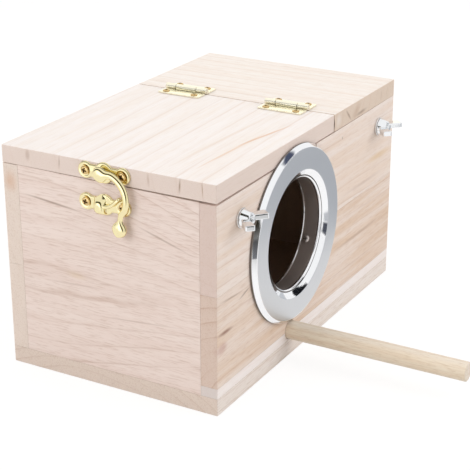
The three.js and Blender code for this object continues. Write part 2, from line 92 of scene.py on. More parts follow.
# Colour, node and object helpers


def linear(hex_colour: str) -> tuple[float, float, float, float]:
    """Turns an sRGB hex colour to the linear colour that a shader takes.

    Args:
        hex_colour: six hex digits after a hash sign.

    Returns:
        Red, green, blue and an alpha of one.
    """
    parts = [int(hex_colour[i : i + 2], 16) / 255 for i in (1, 3, 5)]
    lit = [p / 12.92 if p <= 0.04045 else ((p + 0.055) / 1.055) ** 2.4 for p in parts]
    return (*lit, 1.0)


def metres(lengths: Triple) -> list[float]:
    """Millimetres turned to metres."""
    return [length * MM for length in lengths]


def add_node(tree: Tree, kind: str, inputs: dict | list | tuple = (), **settings: object) -> Node:
    """Adds a node to a tree, with its settings made and its inputs set or linked.

    Args:
        tree: the node tree.
        kind: the node's class name, without its ShaderNode prefix.
        inputs: what goes into its sockets, by name or number, or one after the other. It is a
            value, another node's output, or a node, which gives its first output.
        settings: attribute names and values.

    Returns:
        The new node.
    """
    node = tree.nodes.new("ShaderNode" + kind)
    for name, value in settings.items():
        setattr(node, name, value)
    for key, value in inputs.items() if isinstance(inputs, dict) else enumerate(inputs):
        source = value.outputs[0] if isinstance(value, Node) else value
        if isinstance(source, Socket):
            tree.links.new(source, node.inputs[key])
        else:
            node.inputs[key].default_value = source
    return node


def new_material(name: str) -> tuple[bpy.types.Material, Tree]:
    """Makes an empty material, ready for nodes.

    Args:
        name: the material's name.

    Returns:
        The material and its node tree.
    """
    material = bpy.data.materials.new(name)
    material.use_nodes = True
    material.node_tree.nodes.clear()
    return material, material.node_tree


def add_object(name: str, data: bpy.types.ID) -> bpy.types.Object:
    """Adds an object to the scene.

    Args:
        name: its name.
        data: its mesh, lamp or camera.

    Returns:
        The object.
    """
    item = bpy.data.objects.new(name, data)
    bpy.context.scene.collection.objects.link(item)
    return item


# Finishes

# A wave texture at scale 1 has this many metres from crest to crest
WAVE_LENGTH = TURN / 20
# Noise stays near its middle, so each pattern shows between two of its levels
STREAK_LEVELS, PATCH_LEVELS, PORE_LEVELS = (0.38, 0.64), (0.35, 0.62), (0.5, 0.72)
SMUDGE_LEVELS = (0.3, 0.7)
# Late wood darkens slowly through a year's ring and stops at once at the winter
RING_STOPS = ((0.0, "#000000"), (0.6, "#1c1c1c"), (0.86, "#7a7a7a"), (0.94, "#ffffff"), (1.0, "#000000"))


@dataclass(frozen=True)
class Mark:
    """A soft-edged patch of another colour in a board, such as a resin streak or a knot.

    reach is its size along X, Y and Z, lean turns it about them, and strength is how much of the
    colour shows in its middle.
    """

    centre: Triple
    reach: Triple
    colour: str
    strength: float
    lean: Triple = (0.0, 0.0, 0.0)

    def share(self, tree: Tree, place: Socket, noise: Node) -> Node:
        """How much of the mark shows: full in its middle and gone at its reach.

        The noise adds a half on average to the distance, which therefore fades from 0.5 to 1.5.

        Args:
            tree: the material's node tree.
            place: object coordinates.
            noise: what makes the mark's edge uneven.

        Returns:
            The node that gives the share.
        """
        lean = [math.radians(angle) for angle in self.lean]
        spread = [place, metres(self.centre), lean, metres(self.reach)]
        inside = add_node(tree, "Mapping", spread, vector_type="TEXTURE")
        reach = add_node(tree, "VectorMath", [inside], operation="LENGTH")
        uneven = add_node(tree, "Math", [reach.outputs["Value"], noise], operation="ADD")
        fade = [uneven, 1.5, 0.5, 0.0, self.strength]
        return add_node(tree, "MapRange", fade, interpolation_type="SMOOTHSTEP")


@dataclass(frozen=True)
class WoodFinish:
    """Sawn and sanded paulownia: pale early wood with soft, wide growth rings and open pores.

    The rings are cylinders round the heart of the tree, so one pattern gives the straight lines of
    a quarter-sawn face, the arches of a flat-sawn one and the curved lines of the end grain.
    heart is a point on the tree's middle line, lean tips that line off the board's grain, ring is
    the spacing of the growth rings, and flare is how much the rings swell with the square of the
    distance along the grain, per square millimetre. In patches the rings fade to faint_share. face
    is the way that the broad sanded faces look; the sawn edges between them take the sawn colour,
    and show edge_share of the rings. relief and depth are how strongly the grain stands in a bump.
    """

    name: str
    early: str
    late: str
    drift: str
    sawn: str
    grain: Axis
    face: Axis
    heart: Triple
    lean: Triple = (0.0, 0.0, 0.0)
    ring: float = 8.0
    waver: float = 3.5
    flare: float = 0.0
    late_share: float = 0.38
    edge_share: float = 0.45
    drift_share: float = 0.8
    faint_share: float = 0.15
    pore_share: float = 0.35
    roughness: float = 0.62
    relief: float = 0.3
    depth: float = 0.1
    marks: tuple[Mark, ...] = ()
    # A pore is about 0.3 mm wide, under half a pixel of the picture, so it is drawn twice as wide
    pore_width: float = 0.6
    pore_length: float = 8.0
    pore_depth: float = 0.7
    streak_width: float = 4.0
    streak_length: float = 70.0
    drift_size: float = 26.0
    stretch: float = 6.0

    @cache
    def material(self) -> bpy.types.Material:
        """Builds the material once, by laying colours over the early wood's, each by its share.

        Returns:
            The material.
        """
        material, tree = new_material(self.name)
        coordinates = add_node(tree, "TexCoord").outputs
        place = coordinates["Object"]
        along = self._along_grain(tree, place)
        sources = [(along, self.drift_size, 3.0)]
        fibres = ((self.streak_width, self.streak_length), (self.pore_width, self.pore_length))
        for width, length in fibres:
            drawn = {"Vector": place, "Rotation": self.grain.turn, "Scale": (length / width, 1, 1)}
            sources.append((add_node(tree, "Mapping", drawn, vector_type="TEXTURE"), width, 2.0))
        noises = []
        for source, size, detail in sources:
            spread = {"Vector": source, "Scale": 1 / (size * MM), "Detail": detail, "Roughness": 0.6}
            noises.append(add_node(tree, "TexNoise", spread))
        slow, streaks, pores = noises
        edge = self._sawn_edges(tree, coordinates["Normal"])
        ranges = (
            (streaks, *STREAK_LEVELS, 0.0, self.drift_share),
            (slow, *PATCH_LEVELS, self.faint_share, 1.0),
            (edge, 0.0, 1.0, self.late_share, self.late_share * self.edge_share),
            (pores, *PORE_LEVELS, 0.0, self.pore_share),
        )
        drifted, patchy, depth, open_pores = [add_node(tree, "MapRange", span) for span in ranges]
        lateness = self._rings(tree, along)
        for share in (patchy, depth):
            lateness = add_node(tree, "Math", [lateness, share], operation="MULTIPLY")
        layers = [(drifted, self.drift), (edge, self.sawn)]
        layers += [(lateness, self.late), (open_pores, self.late)]
        layers += [(mark.share(tree, place, slow), mark.colour) for mark in self.marks]
        colour = linear(self.early)
        for share, over in layers:
            laid = add_node(tree, "Mix", {0: share, 6: colour, 7: linear(over)}, data_type="RGBA")
            colour = laid.outputs[2]
        relief = add_node(tree, "Math", [pores, -self.pore_depth, lateness], operation="MULTIPLY_ADD")
        grain = {"Height": relief, "Strength": self.relief, "Distance": self.depth * MM}
        bump = add_node(tree, "Bump", grain)
        surface = {"Base Color": colour, "Roughness": self.roughness, "IOR": 1.45, "Normal": bump}
        shader = add_node(tree, "BsdfPrincipled", {**surface, "Specular IOR Level": 0.3})
        add_node(tree, "OutputMaterial", [shader])
        return material

    def _along_grain(self, tree: Tree, place: Socket) -> Node:
        """Turns object coordinates to the grain and draws them out along it.

        With a flare f, each point then swells by 1 + f d^2 at a distance d along the grain.

        Args:
            tree: the material's node tree.
            place: object coordinates.

        Returns:
            The node that gives the turned coordinates.
        """
        turn = [own + math.radians(tip) for own, tip in zip(self.grain.turn, self.lean)]
        drawn = [place, metres(self.heart), turn, (self.stretch, 1, 1)]
        along = add_node(tree, "Mapping", drawn, vector_type="TEXTURE")
        if self.flare == 0:
            return along
        axes = add_node(tree, "SeparateXYZ", [along])
        per_metre = math.sqrt(self.flare) * self.stretch / MM
        share = add_node(tree, "Math", [axes, per_metre], operation="MULTIPLY")
        swell = add_node(tree, "Math", [share, share, 1.0], operation="MULTIPLY_ADD")
        return add_node(tree, "VectorMath", {0: along, "Scale": swell}, operation="SCALE")

    def _rings(self, tree: Tree, along: Node) -> Node:
        """How late the wood is, from 0 to 1: slowly rising through each ring, then cut off.

        Args:
            tree: the material's node tree.
            along: coordinates turned to the grain.

        Returns:
            The node that gives the lateness.
        """
        size = {"Vector": along, "Scale": WAVE_LENGTH / (self.ring * MM), "Distortion": self.waver}
        detail = {"Detail": 3.0, "Detail Scale": 0.6, "Detail Roughness": 0.5}
        shape = {"wave_type": "RINGS", "rings_direction": "X", "wave_profile": "SAW"}
        wave = add_node(tree, "TexWave", {**size, **detail}, **shape)
        band = add_node(tree, "ValToRGB", [wave.outputs["Fac"]])
        elements = band.color_ramp.elements
        while len(elements) < len(RING_STOPS):
            elements.new(1.0)
        for element, (spot, colour) in zip(elements, RING_STOPS):
            element.position = spot
            element.color = linear(colour)
        band.color_ramp.interpolation = "EASE"
        return band

    def _sawn_edges(self, tree: Tree, normal: Socket) -> Node:
        """One on the board's sawn edges and nought on its broad faces.

        It fades as the normal's part along the broad faces' way goes from 0.4 to 0.8.

        Args:
            tree: the material's node tree.
            normal: the surface's normal.

        Returns:
            The node that gives the share.
        """
        broad = add_node(tree, "VectorMath", [normal, self.face.way], operation="DOT_PRODUCT")
        size = add_node(tree, "Math", [broad.outputs["Value"]], operation="ABSOLUTE")
        return add_node(tree, "MapRange", [size, 0.8, 0.4])


@dataclass(frozen=True)
class MetalFinish:
    """A bare or plated metal, with the fine unevenness that its making leaves.

    texture is the size of that unevenness, relief how much it tips the surface, and smudge how far
    the roughness wanders, as handling leaves it. A turned piece has fine lines round its centre, an
    axis along Y, a spacing apart and as deep as line_relief says.
    """

    name: str
    colour: str
    roughness: float
    texture: float = 1.2
    relief: float = 0.05
    smudge: float = 0.05
    centre: Triple | None = None
    spacing: float = 0.7
    line_relief: float = 0.0
    depth: float = 0.2

    @cache
    def material(self) -> bpy.types.Material:
        """Builds the metal's material once.

        Returns:
            The material.
        """
        material, tree = new_material(self.name)
        place = add_node(tree, "TexCoord").outputs["Object"]
        spread = {"Vector": place, "Scale": 1 / (self.texture * MM), "Detail": 3.0, "Roughness": 0.55}
        uneven = add_node(tree, "TexNoise", spread)
        span = [uneven, *SMUDGE_LEVELS, self.roughness, self.roughness + self.smudge]
        gloss = add_node(tree, "MapRange", span)
        dents = {"Height": uneven, "Strength": self.relief, "Distance": self.depth * MM}
        bump = add_node(tree, "Bump", dents)
        if self.centre:
            centred = add_node(tree, "Mapping", [place, metres(self.centre)], vector_type="TEXTURE")
            size = {"Vector": centred, "Scale": WAVE_LENGTH / (self.spacing * MM), "Distortion": 1.5}
            detail = {"Detail": 2.0, "Detail Scale": 3.0}
            lines = add_node(tree, "TexWave", {**size, **detail}, wave_type="RINGS", rings_direction="Y")
            grooves = {"Height": lines.outputs["Fac"], "Strength": self.line_relief, "Normal": bump}
            bump = add_node(tree, "Bump", {**grooves, "Distance": self.depth * MM})
        surface = {"Base Color": linear(self.colour), "Metallic": 1.0, "Roughness": gloss}
        shader = add_node(tree, "BsdfPrincipled", {**surface, "Normal": bump})
        add_node(tree, "OutputMaterial", [shader])
        return material


# Satin anodised aluminium: an even, matt grey face with no line in it
SATIN_FACE = MetalFinish("aluminium_satin_anodised", "#d2d4d7", 0.34, 0.5, 0.06, 0.05)
# Turned and polished aluminium: white where it meets the light, with crisp dark reflections that
# fine tool lines draw out a little; the lines are 0.2 mm apart and are drawn at 0.7 mm to show
POLISHED_EDGE = MetalFinish(
    "aluminium_turned_polished", "#f3f4f6", 0.05, 2.0, 0.0, 0.03, (-23.0, -60.0, 67.0), 0.7, 0.012
)
# The rim, the groove and the back of the flange are turned but not polished, so they stay dull; their
# dark colour is painted shade, for the dark line round the ring's foot, in the groove and in the ring
# screws' recesses
TURNED_BACK_SHADED = MetalFinish("aluminium_turned_dull_painted_shade", "#8a8480", 0.45, 1.0, 0.05, 0.05)
# The sleeve's inside is drawn and only wiped, so it blurs the dark of the chamber
DRAWN_SLEEVE = MetalFinish("aluminium_drawn", "#bbb0aa", 0.46, 3.0, 0.0, 0.06)
# Dull zinc on the small screws in the sleeve
DULL_ZINC = MetalFinish("zinc_dull_plated_steel", "#cfc8c4", 0.38, 1.0, 0.03, 0.06)
# Bright zinc plate on cast nuts: near white, with soft dents from the mould
CAST_ZINC = MetalFinish("zinc_bright_plated_casting", "#eff1f3", 0.08, 2.4, 0.06, 0.05)
# Bright zinc plate on turned steel
TURNED_ZINC = MetalFinish("zinc_bright_plated_steel", "#e6e8ea", 0.14, 1.0, 0.04, 0.06)
# Plated brass castings of the latch, a pale greenish gold with a wet shine
CAST_BRASS = MetalFinish("brass_plated_casting", "#efe3b4", 0.07, 1.8, 0.03, 0.04)
# Pressed hinge leaves in bright plate: their near-white colour is partly the pale plating, partly a
# painted highlight for the glare they catch
PRESSED_BRASS = MetalFinish("brass_plated_pressing", "#fdf8e2", 0.12, 1.8, 0.02, 0.04)
# Screw heads take less plate than the castings, so they are browner
SCREW_BRASS = MetalFinish("brass_plated_screw", "#d6b984", 0.2, 0.8, 0.05, 0.06)
# A screw's recess is dark brown: partly lacquer and dust settled in it, partly painted shade
RECESS_SHADE = MetalFinish("recess_lacquer_and_painted_shade", "#6d5230", 0.5, 0.5, 0.05, 0.05)

# The lid's board is quarter sawn: straight soft lines along it, with an ochre streak by its front
# edge, and dark upright flecks where the saw crossed the rings at its end
LID_WOOD = WoodFinish(
    "paulownia_lid_quarter_sawn", "#f5eeea", "#d3b59f", "#f2e8e0", "#ead9cf", Axis.LENGTH, Axis.HEIGHT,
    (0, 190, 60), (0, 0.6, 1.4), 13.0, 2.5, late_share=0.35, pore_share=0.2, pore_length=14.0,
    marks=(
        Mark((-58, -41.8, 117), (44, 1.3, 6), "#dcae7e", 0.5, (0, 0, -2.5)),
        Mark((-24, -45.5, 117), (36, 1.2, 6), "#d79c66", 0.6, (0, 0, -10.5)),
        Mark((-40, -30, 117), (60, 1.6, 6), "#dcc0a6", 0.35, (0, 0, -2)),
        Mark((-100, -40.8, 113.2), (3, 0.9, 5.5), "#8c6845", 0.75, (4, 0, 0)),
        Mark((-100, -52.7, 113.5), (3, 0.5, 5.5), "#a8815e", 0.65, (-3, 0, 0)),
        Mark((-100, 25.9, 113.2), (3, 0.6, 4.5), "#a68a78", 0.6, (3, 0, 0)),
        Mark((-100, 44.5, 114), (3, 1.6, 3.5), "#bba292", 0.5, (0, 0, 0)),
        Mark((-100, -24, 113), (3, 1.0, 4.5), "#bca28f", 0.45, (-4, 0, 0)),
    ),
)
# The fixed roof boards run the other way, across the box, with a line of painted shade at the joint by
# the lid
ROOF_WOOD = WoodFinish(
    "paulownia_roof_quarter_sawn", "#f5ede6", "#d6baa2", "#f2e6dc", "#e3d0bf", Axis.DEPTH, Axis.HEIGHT,
    (260, 0, 40), (0.5, 0, 1.0), 8.0, 2.5, late_share=0.42, edge_share=0.8,
    marks=(
        Mark((27.4, -60, 112.5), (4.6, 3, 5), "#f1e5dc", 0.7),
        # Painted shade: a thin dark line on the strip's end, where the joint with the lid lies in shadow
        Mark((22.4, -60, 111.5), (0.5, 3, 4.6), "#4a382c", 0.8),
        Mark((39.5, -60, 112.2), (6.5, 3, 1.1), "#8a6a54", 0.6, (0, 46, 0)),
        Mark((56, -60, 109.6), (11, 3, 1.7), "#80604b", 0.6, (0, -3, 0)),
        Mark((50, -60, 112), (9, 3, 4), "#c3a68f", 0.5, (0, -30, 0)),
        Mark((82, -60, 112), (0.8, 3, 5), "#b2937c", 0.5, (0, 12, 0)),
        Mark((90, -60, 112.5), (0.7, 3, 5), "#b2937c", 0.45, (0, 18, 0)),
    ),
)
# The latch end is flat sawn: its rings close in on one another from the back to the front, and a
# few dark wavy lines show where the saw only just cut them
END_WOOD = WoodFinish(
    "paulownia_end_flat_sawn", "#f4e3da", "#b8937c", "#eedad0", "#e3d0c3", Axis.DEPTH, Axis.LENGTH,
    (-114, 51, 50), ring=9.0, waver=5.0, flare=5.0e-5, stretch=3.5, pore_share=0.34, pore_length=7.0,
    marks=(
        Mark((-100, 31, 92), (4, 21, 0.8), "#8b6c58", 0.6, (6, 0, 0)),
        Mark((-100, -31, 85), (4, 22, 0.8), "#9a7b66", 0.5, (17, 0, 0)),
        Mark((-100, 20, 51.5), (4, 24, 0.7), "#a5846f", 0.3, (-3, 0, 0)),
        Mark((-100, -16, 39.5), (4, 34, 0.6), "#b0917d", 0.4, (-5, 0, 0)),
        Mark((-100, 19, 56.5), (4, 9, 3), "#dcc291", 0.25, (5, 0, 0)),
    ),
)
# The far end is cut from the same plank, further from its heart, and has none of those lines
FAR_END_WOOD = replace(
    END_WOOD, name="paulownia_far_end_flat_sawn", heart=(118, -40, 74), flare=3.0e-5, marks=()
)
# The front's upper stave: pale, with soft long streaks
FRONT_PALE_WOOD = WoodFinish(
    "paulownia_front_pale", "#f6e8df", "#c9a38a", "#efdac9", "#e2cdc3", Axis.LENGTH, Axis.DEPTH,
    (0, -75, 170), (0, 1.0, 0), 9.0, late_share=0.32, pore_share=0.25,
    streak_width=5.5, streak_length=110.0,
    marks=(
        Mark((82, -60, 77.5), (22, 4, 2.6), "#e0bb80", 0.45, (0, 1, 0)),
        Mark((62, -60, 67.5), (34, 4, 1.8), "#b8957e", 0.4, (0, 1, 0)),
        Mark((32.7, -60, 101.4), (0.35, 3, 1.3), "#3d2b20", 0.95),
    ),
)
# The front's middle stave is browner, with a reddish knot at its latch end
FRONT_BROWN_WOOD = WoodFinish(
    "paulownia_front_brown", "#f2e1d5", "#b98b6b", "#e5c9b0", "#e0cabc", Axis.LENGTH, Axis.DEPTH,
    (0, -72, 0), (0, 1.5, 1), 7.0, late_share=0.32, edge_share=1.7, pore_share=0.28,
    streak_width=4.5, streak_length=90.0,
    marks=(
        Mark((-92.5, -60, 41.5), (9, 4, 1.5), "#87574a", 0.75, (0, 2, 0)),
        Mark((-95.6, -60, 34), (6, 4, 3.8), "#c08a7c", 0.45),
        Mark((-73.5, -60, 54.2), (8, 4, 0.9), "#7c5b49", 0.6, (0, -14, 0)),
        Mark((-87, -60, 57), (14, 4, 0.9), "#96745e", 0.5, (0, 5, 0)),
        Mark((60, -60, 39), (38, 4, 1.5), "#a8836b", 0.4),
    ),
)
# The front's lowest stave is an even, pale wood with hardly a line in it
FRONT_FOOT_WOOD = WoodFinish(
    "paulownia_front_foot", "#fff8f5", "#dcc4b8", "#fcf1ec", "#e2d7d2", Axis.LENGTH, Axis.DEPTH,
    (0, -160, 60), (0, 1, 1), late_share=0.16, pore_share=0.22,
)
# The back is plain, with an ochre mark where its upper stave shows at the latch end
BACK_WOOD = WoodFinish(
    "paulownia_back", "#f3e4d8", "#cbae98", "#ebdaca", "#ecdcd0", Axis.LENGTH, Axis.DEPTH,
    (0, 112, 30), (0, 2, 1), 7.5, late_share=0.45,
    marks=(Mark((-100, 56, 99), (4, 5, 7), "#d39c72", 0.4),),
)
# The base shows its edges alone, with close rings that the saw crossed
BASE_WOOD = WoodFinish(
    "paulownia_base", "#f7ede6", "#bb9a85", "#f2e6dc", "#e6d5c8", Axis.LENGTH, Axis.DEPTH,
    (0, 15, -110), (0, 0.5, 0), 5.0, late_share=0.3, edge_share=1.3,
)
# Inner faces stay as the saw left them, so they are rougher; their darker, browner colour is painted
# shade for the dim chamber
INNER_SHADED_WOOD = WoodFinish(
    "paulownia_inside_painted_shade", "#cbb5a2", "#a68b74", "#c0a892", "#c6af9b", Axis.LENGTH, Axis.DEPTH,
    (0, 150, 30), (0, 3, 2), late_share=0.5, roughness=0.8,
)
# The perch is a beech dowel, denser and yellower than the boards, with flecks along it
PERCH_WOOD = WoodFinish(
    "beech_dowel", "#f3e5d0", "#bd9d78", "#ead6bd", "#ecdfce", Axis.DEPTH, Axis.LENGTH,
    (-25.5, 0, 32), (1.5, 0, 1.0), 3.2, 1.5, late_share=0.24, edge_share=1.0, pore_share=0.3,
    pore_length=5.0, streak_width=2.5, streak_length=40.0, roughness=0.5,
)


# Shapes


@dataclass(frozen=True)
class Seat:
    """A plane that pieces are fastened to: a point on it and its three directions.

    Points made on a seat are given as (across, up, out).
    """

    origin: Triple
    across: Triple
    up: Triple
    out: Triple

    def place(self, points: Points) -> Points:
        """Moves points from the seat's own directions into the box's."""
        return points @ np.array([self.across, self.up, self.out], float) + np.array(self.origin)

    def at(self, across: float, up: float, out: float) -> Seat:
        """The same seat with another of its points as its origin."""
        return replace(self, origin=tuple(self.place(np.array([across, up, out]))))


def front_seat(x: float, z: float) -> Seat:
    """The front face at a place along the box and a height."""
    return Seat((x, BLOCK_LOW[1], z), (1, 0, 0), (0, 0, 1), (0, -1, 0))


def latch_seat(z: float) -> Seat:
    """The latch end at its middle and a height."""
    return Seat((BLOCK_LOW[0], 0.0, z), (0, -1, 0), (0, 0, 1), (-1, 0, 0))


@dataclass(frozen=True)
class Sheet:
    """A surface as a grid of points, rows by columns by three.

    ring says whether the last row joins the first, and tube whether the last column does. finish
    gives the material's number for each row of faces, or for each face.
    """

    points: Points
    ring: bool = False
    finish: Points | None = None
    tube: bool = True

    def faces(self) -> tuple[Points, Points]:
        """The four-sided faces between neighbouring rows and columns.

        Returns:
            The faces as numbers of the grid's points, and each face's material number.
        """
        rows, columns = self.points.shape[:2]
        last_row, last_column = rows - (not self.ring), columns - (not self.tube)
        row, column = np.meshgrid(np.arange(last_row), np.arange(last_column), indexing="ij")
        below, beside = (row + 1) % rows, (column + 1) % columns
        corners = [(row, column), (row, beside), (below, beside), (below, column)]
        faces = np.stack([r * columns + c for r, c in corners], axis=-1).reshape(-1, 4)
        finish = np.zeros(rows, int) if self.finish is None else self.finish
        numbers = finish[:last_row].reshape(last_row, -1)
        return faces, np.broadcast_to(numbers, (last_row, last_column)).ravel()


def melt(piece: bpy.types.Object, voxel: float, rounds: int = 4) -> None:
    """Joins a piece's overlapping shells into one skin and softens it.

    Args:
        piece: the piece, whose mesh is changed.
        voxel: the skin's grain.
        rounds: how often the skin is smoothed.
    """
    remesh = piece.modifiers.new("one_skin", "REMESH")
    remesh.mode = "VOXEL"
    remesh.voxel_size = voxel * MM
    remesh.use_smooth_shade = True
    smooth = piece.modifiers.new("soft_skin", "SMOOTH")
    smooth.factor = 0.5
    smooth.iterations = rounds
    graph = bpy.context.evaluated_depsgraph_get()
    skin = bpy.data.meshes.new_from_object(piece.evaluated_get(graph), depsgraph=graph)
    materials = list(piece.data.materials)
    piece.modifiers.clear()
    piece.data = skin
    skin.materials.clear()
    for material in materials:
        skin.materials.append(material)
    skin.shade_smooth()


def settle(piece: bpy.types.Object, node: str, body: str) -> None:
    """Lets a piece ride on a body in place of one of the frame's nodes.

    Args:
        piece: the finished piece.
        node: the node that it stands for.
        body: the body that it moves with.
    """
    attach(piece, body)
    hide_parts(node)
    LOG.info("%s: %d faces on %s", piece.name, len(piece.data.polygons), body)


def make_piece(
    name: str, node: str, body: str, finishes: tuple[WoodFinish | MetalFinish, ...],
    sheets: list[Sheet], crease: float = 35.0, voxel: float = 0.0,
) -> None:
    """Puts grids into one mesh with closed seams and poles, and settles it as a piece.

    Doubled vertices are merged, faces without area dropped, and the rest turned outwards.

    Args:
        name: the piece's name.
        node: the node that it stands for.
        body: the body that it moves with.
        finishes: its finishes, in the order of the grids' numbers.
        sheets: the grids.
        crease: the angle past which an edge stays sharp.
        voxel: the grain of the skin that the grids are melted into, or nought.
    """
    faces, numbers, start = [], [], 0
    for sheet in sheets:
        own_faces, own_numbers = sheet.faces()
        faces.append(own_faces + start)
        numbers.append(own_numbers)
        start += sheet.points[..., 0].size
    places = np.concatenate([sheet.points.reshape(-1, 3) for sheet in sheets])
    mesh = bpy.data.meshes.new(name)
    mesh.from_pydata((places * MM).tolist(), [], np.concatenate(faces).tolist())
    mesh.polygons.foreach_set("material_index", np.concatenate(numbers).astype(np.int32))
    work = bmesh.new()
    work.from_mesh(mesh)
    bmesh.ops.remove_doubles(work, verts=work.verts, dist=MERGE * MM)
    bmesh.ops.dissolve_degenerate(work, edges=work.edges, dist=MERGE / 2 * MM)
    bmesh.ops.recalc_face_normals(work, faces=work.faces)
    work.to_mesh(mesh)
    work.free()
    mesh.update()
    for finish in finishes:
        mesh.materials.append(finish.material())
    mesh.shade_smooth()
    mesh.set_sharp_from_angle(angle=math.radians(crease))
    piece = add_object(name, mesh)
    if voxel:
        melt(piece, voxel)
    settle(piece, node, body)


def around(count: int) -> Points:
    """Angles evenly round one turn, in radians."""
    return np.linspace(0, TURN, count, endpoint=False)


def spun(radius: Points, out: Points, facets: int) -> Points:
    """Carries radii round as (radius cos t, radius sin t, out) for t in one turn."""
    angle = around(facets)
    return np.stack([radius * np.cos(angle), radius * np.sin(angle), out + 0 * angle], axis=-1)


def filleted(corners: list[tuple], ring: bool, steps: int = 5) -> tuple[Points, Points]:
    """Rounds a profile's corners with quadratic curves.

    At a corner C with a fillet f, the curve runs from f before C to f after it, with C as its
    control point: (1 - t)^2 A + 2 t (1 - t) C + t^2 B. It takes at most 0.48 of a side.

    Args:
        corners: each (radius, out, fillet) or (radius, out, fillet, finish of what follows).
        ring: whether the last corner joins the first.
        steps: points on each curve, less one.

    Returns:
        The profile's points, and the material number that follows each.
    """
    full = [(*corner, 0)[:4] for corner in corners]
    count, points, finish = len(full), [], []
    share = np.linspace(0, 1, steps + 1)[:, None]
    for index, (*spot, fillet, after) in enumerate(full):
        own = np.array(spot, float)
        if fillet == 0 or (not ring and index in (0, count - 1)):
            points.append(own[None])
            finish.append([after])
            continue
        ends = []
        for other in (full[index - 1], full[(index + 1) % count]):
            way = np.array(other[:2], float) - own
            length = np.linalg.norm(way)
            ends.append(own + way / length * min(fillet, length * 0.48))
        start, end = ends
        points.append((1 - share) ** 2 * start + 2 * share * (1 - share) * own + share**2 * end)
        finish.append([full[index - 1][3]] * steps + [after])
    return np.concatenate(points), np.concatenate(finish)


def turned(seat: Seat, corners: list[tuple], facets: int, ring: bool = True) -> Sheet:
    """A surface of revolution about a seat's out direction, from a profile with filleted corners.

    Args:
        seat: where it stands.
        corners: the profile's corners, as filleted takes them.
        facets: steps round the turn.
        ring: whether the profile closes on itself.

    Returns:
        The grid, in the box's directions.
    """
    profile, finish = filleted(corners, ring)
    return Sheet(seat.place(spun(profile[:, :1], profile[:, 1:], facets)), ring, finish)


def slab(outline: Points, inward: Points, low: float, high: float, edge: float, steps: int) -> Points:
    """A flat piece whose lower and upper edge follow a quarter circle.

    Each row is outline + inset * inward. For t in a quarter turn the inset is edge (1 - sin t) at the
    height low + edge (1 - cos t), and edge (1 - cos t) at high - edge (1 - sin t). The first and the
    last row close on the outline's middle.

    Args:
        outline: the widest outline, as (across, up).
        inward: the way in from each of its points.
        low: the height of the underside.
        high: the height of the top.
        edge: the radius of both edges.
        steps: rows on each edge.

    Returns:
        The grid of points as (across, up, height).
    """
    turn = np.linspace(0, TURN / 4, steps)
    rise, run = edge * (1 - np.cos(turn)), edge * (1 - np.sin(turn))
    inset = np.concatenate([run, rise])[:, None, None]
    drawn = outline + inset * inward
    middle = np.broadcast_to(outline.mean(axis=0), (1, *outline.shape))
    flat = np.concatenate([middle, drawn, middle])
    height = np.concatenate([[low], low + rise, high - run, [high]])[:, None, None]
    return np.concatenate([flat, np.broadcast_to(height, (*flat.shape[:2], 1))], axis=-1)


def swept(
    centres: Points, wide: Points, high: Points, power: Points | float, columns: int = 36
) -> Points:
    """Carries a superellipse along a path that lies in a seat's plane.

    At each path point the section is wide |cos t|^(2/power) to the side and high
    |sin t|^(2/power) out of the plane, with the signs of cos t and sin t.

    Args:
        centres: the path's points, as (across, up, out).
        wide: the section's half width at each point.
        high: the section's half height at each point.
        power: 2 is an ellipse and less has a crest, at every point or at each.
        columns: points round the section.

    Returns:
        The grid, closed to a point where the widths are zero.
    """
    way = np.gradient(centres[:, :2], axis=0)
    way /= np.linalg.norm(way, axis=1, keepdims=True)
    side = np.stack([way[:, 1], -way[:, 0], np.zeros(len(way))], axis=1)
    cosine, sine = np.cos(around(columns)), np.sin(around(columns))
    root = 2 / np.broadcast_to(power, len(centres))[:, None]
    lateral = wide[:, None] * np.sign(cosine) * np.abs(cosine) ** root
    rise = high[:, None] * np.sign(sine) * np.abs(sine) ** root
    out = np.array([0.0, 0.0, 1.0])
    return centres[:, None] + side[:, None] * lateral[..., None] + out * rise[..., None]


def smooth_path(points: Points, steps: int) -> Points:
    """A Catmull-Rom curve through points.

    Args:
        points: the points, two or more.
        steps: how many points it gets between each two.

    Returns:
        The curve's points.
    """
    padded = np.vstack([2 * points[0] - points[1], points, 2 * points[-1] - points[-2]])
    share = np.linspace(0, 1, steps, endpoint=False)[:, None]
    spans = []
    for a, b, c, d in zip(padded[:-3], padded[1:-2], padded[2:-1], padded[3:]):
        curve = 2 * b + (c - a) * share + (2 * a - 5 * b + 4 * c - d) * share**2
        spans.append((curve + (3 * b - 3 * c + d - a) * share**3) / 2)
    return np.vstack([*spans, points[-1:]])


def smooth_step(low: float, high: float, value: Points) -> Points:
    """Rises from 0 at low to 1 at high as 3 s^2 - 2 s^3."""
    share = np.clip((value - low) / (high - low), 0, 1)
    return share * share * (3 - 2 * share)


def half_round(share: Points) -> Points:
    """Falls from 1 at a share of nought to 0 at one, as a quarter circle does."""
    return np.sqrt(np.clip(1 - share.clip(0) ** 2, 0, 1))


def read(items: bpy.types.bpy_prop_collection, name: str, width: int, kind: type = float) -> Points:
    """Reads one value of all of a mesh's vertices, edges or faces.

    Args:
        items: the vertices, edges or faces.
        name: the value's name.
        width: how many numbers it has.
        kind: the kind of number.

    Returns:
        The values, a row for each.
    """
    values = np.zeros(len(items) * width, kind)
    items.foreach_get(name, values)
    return values.reshape(-1, width)


# Sub-assemblies


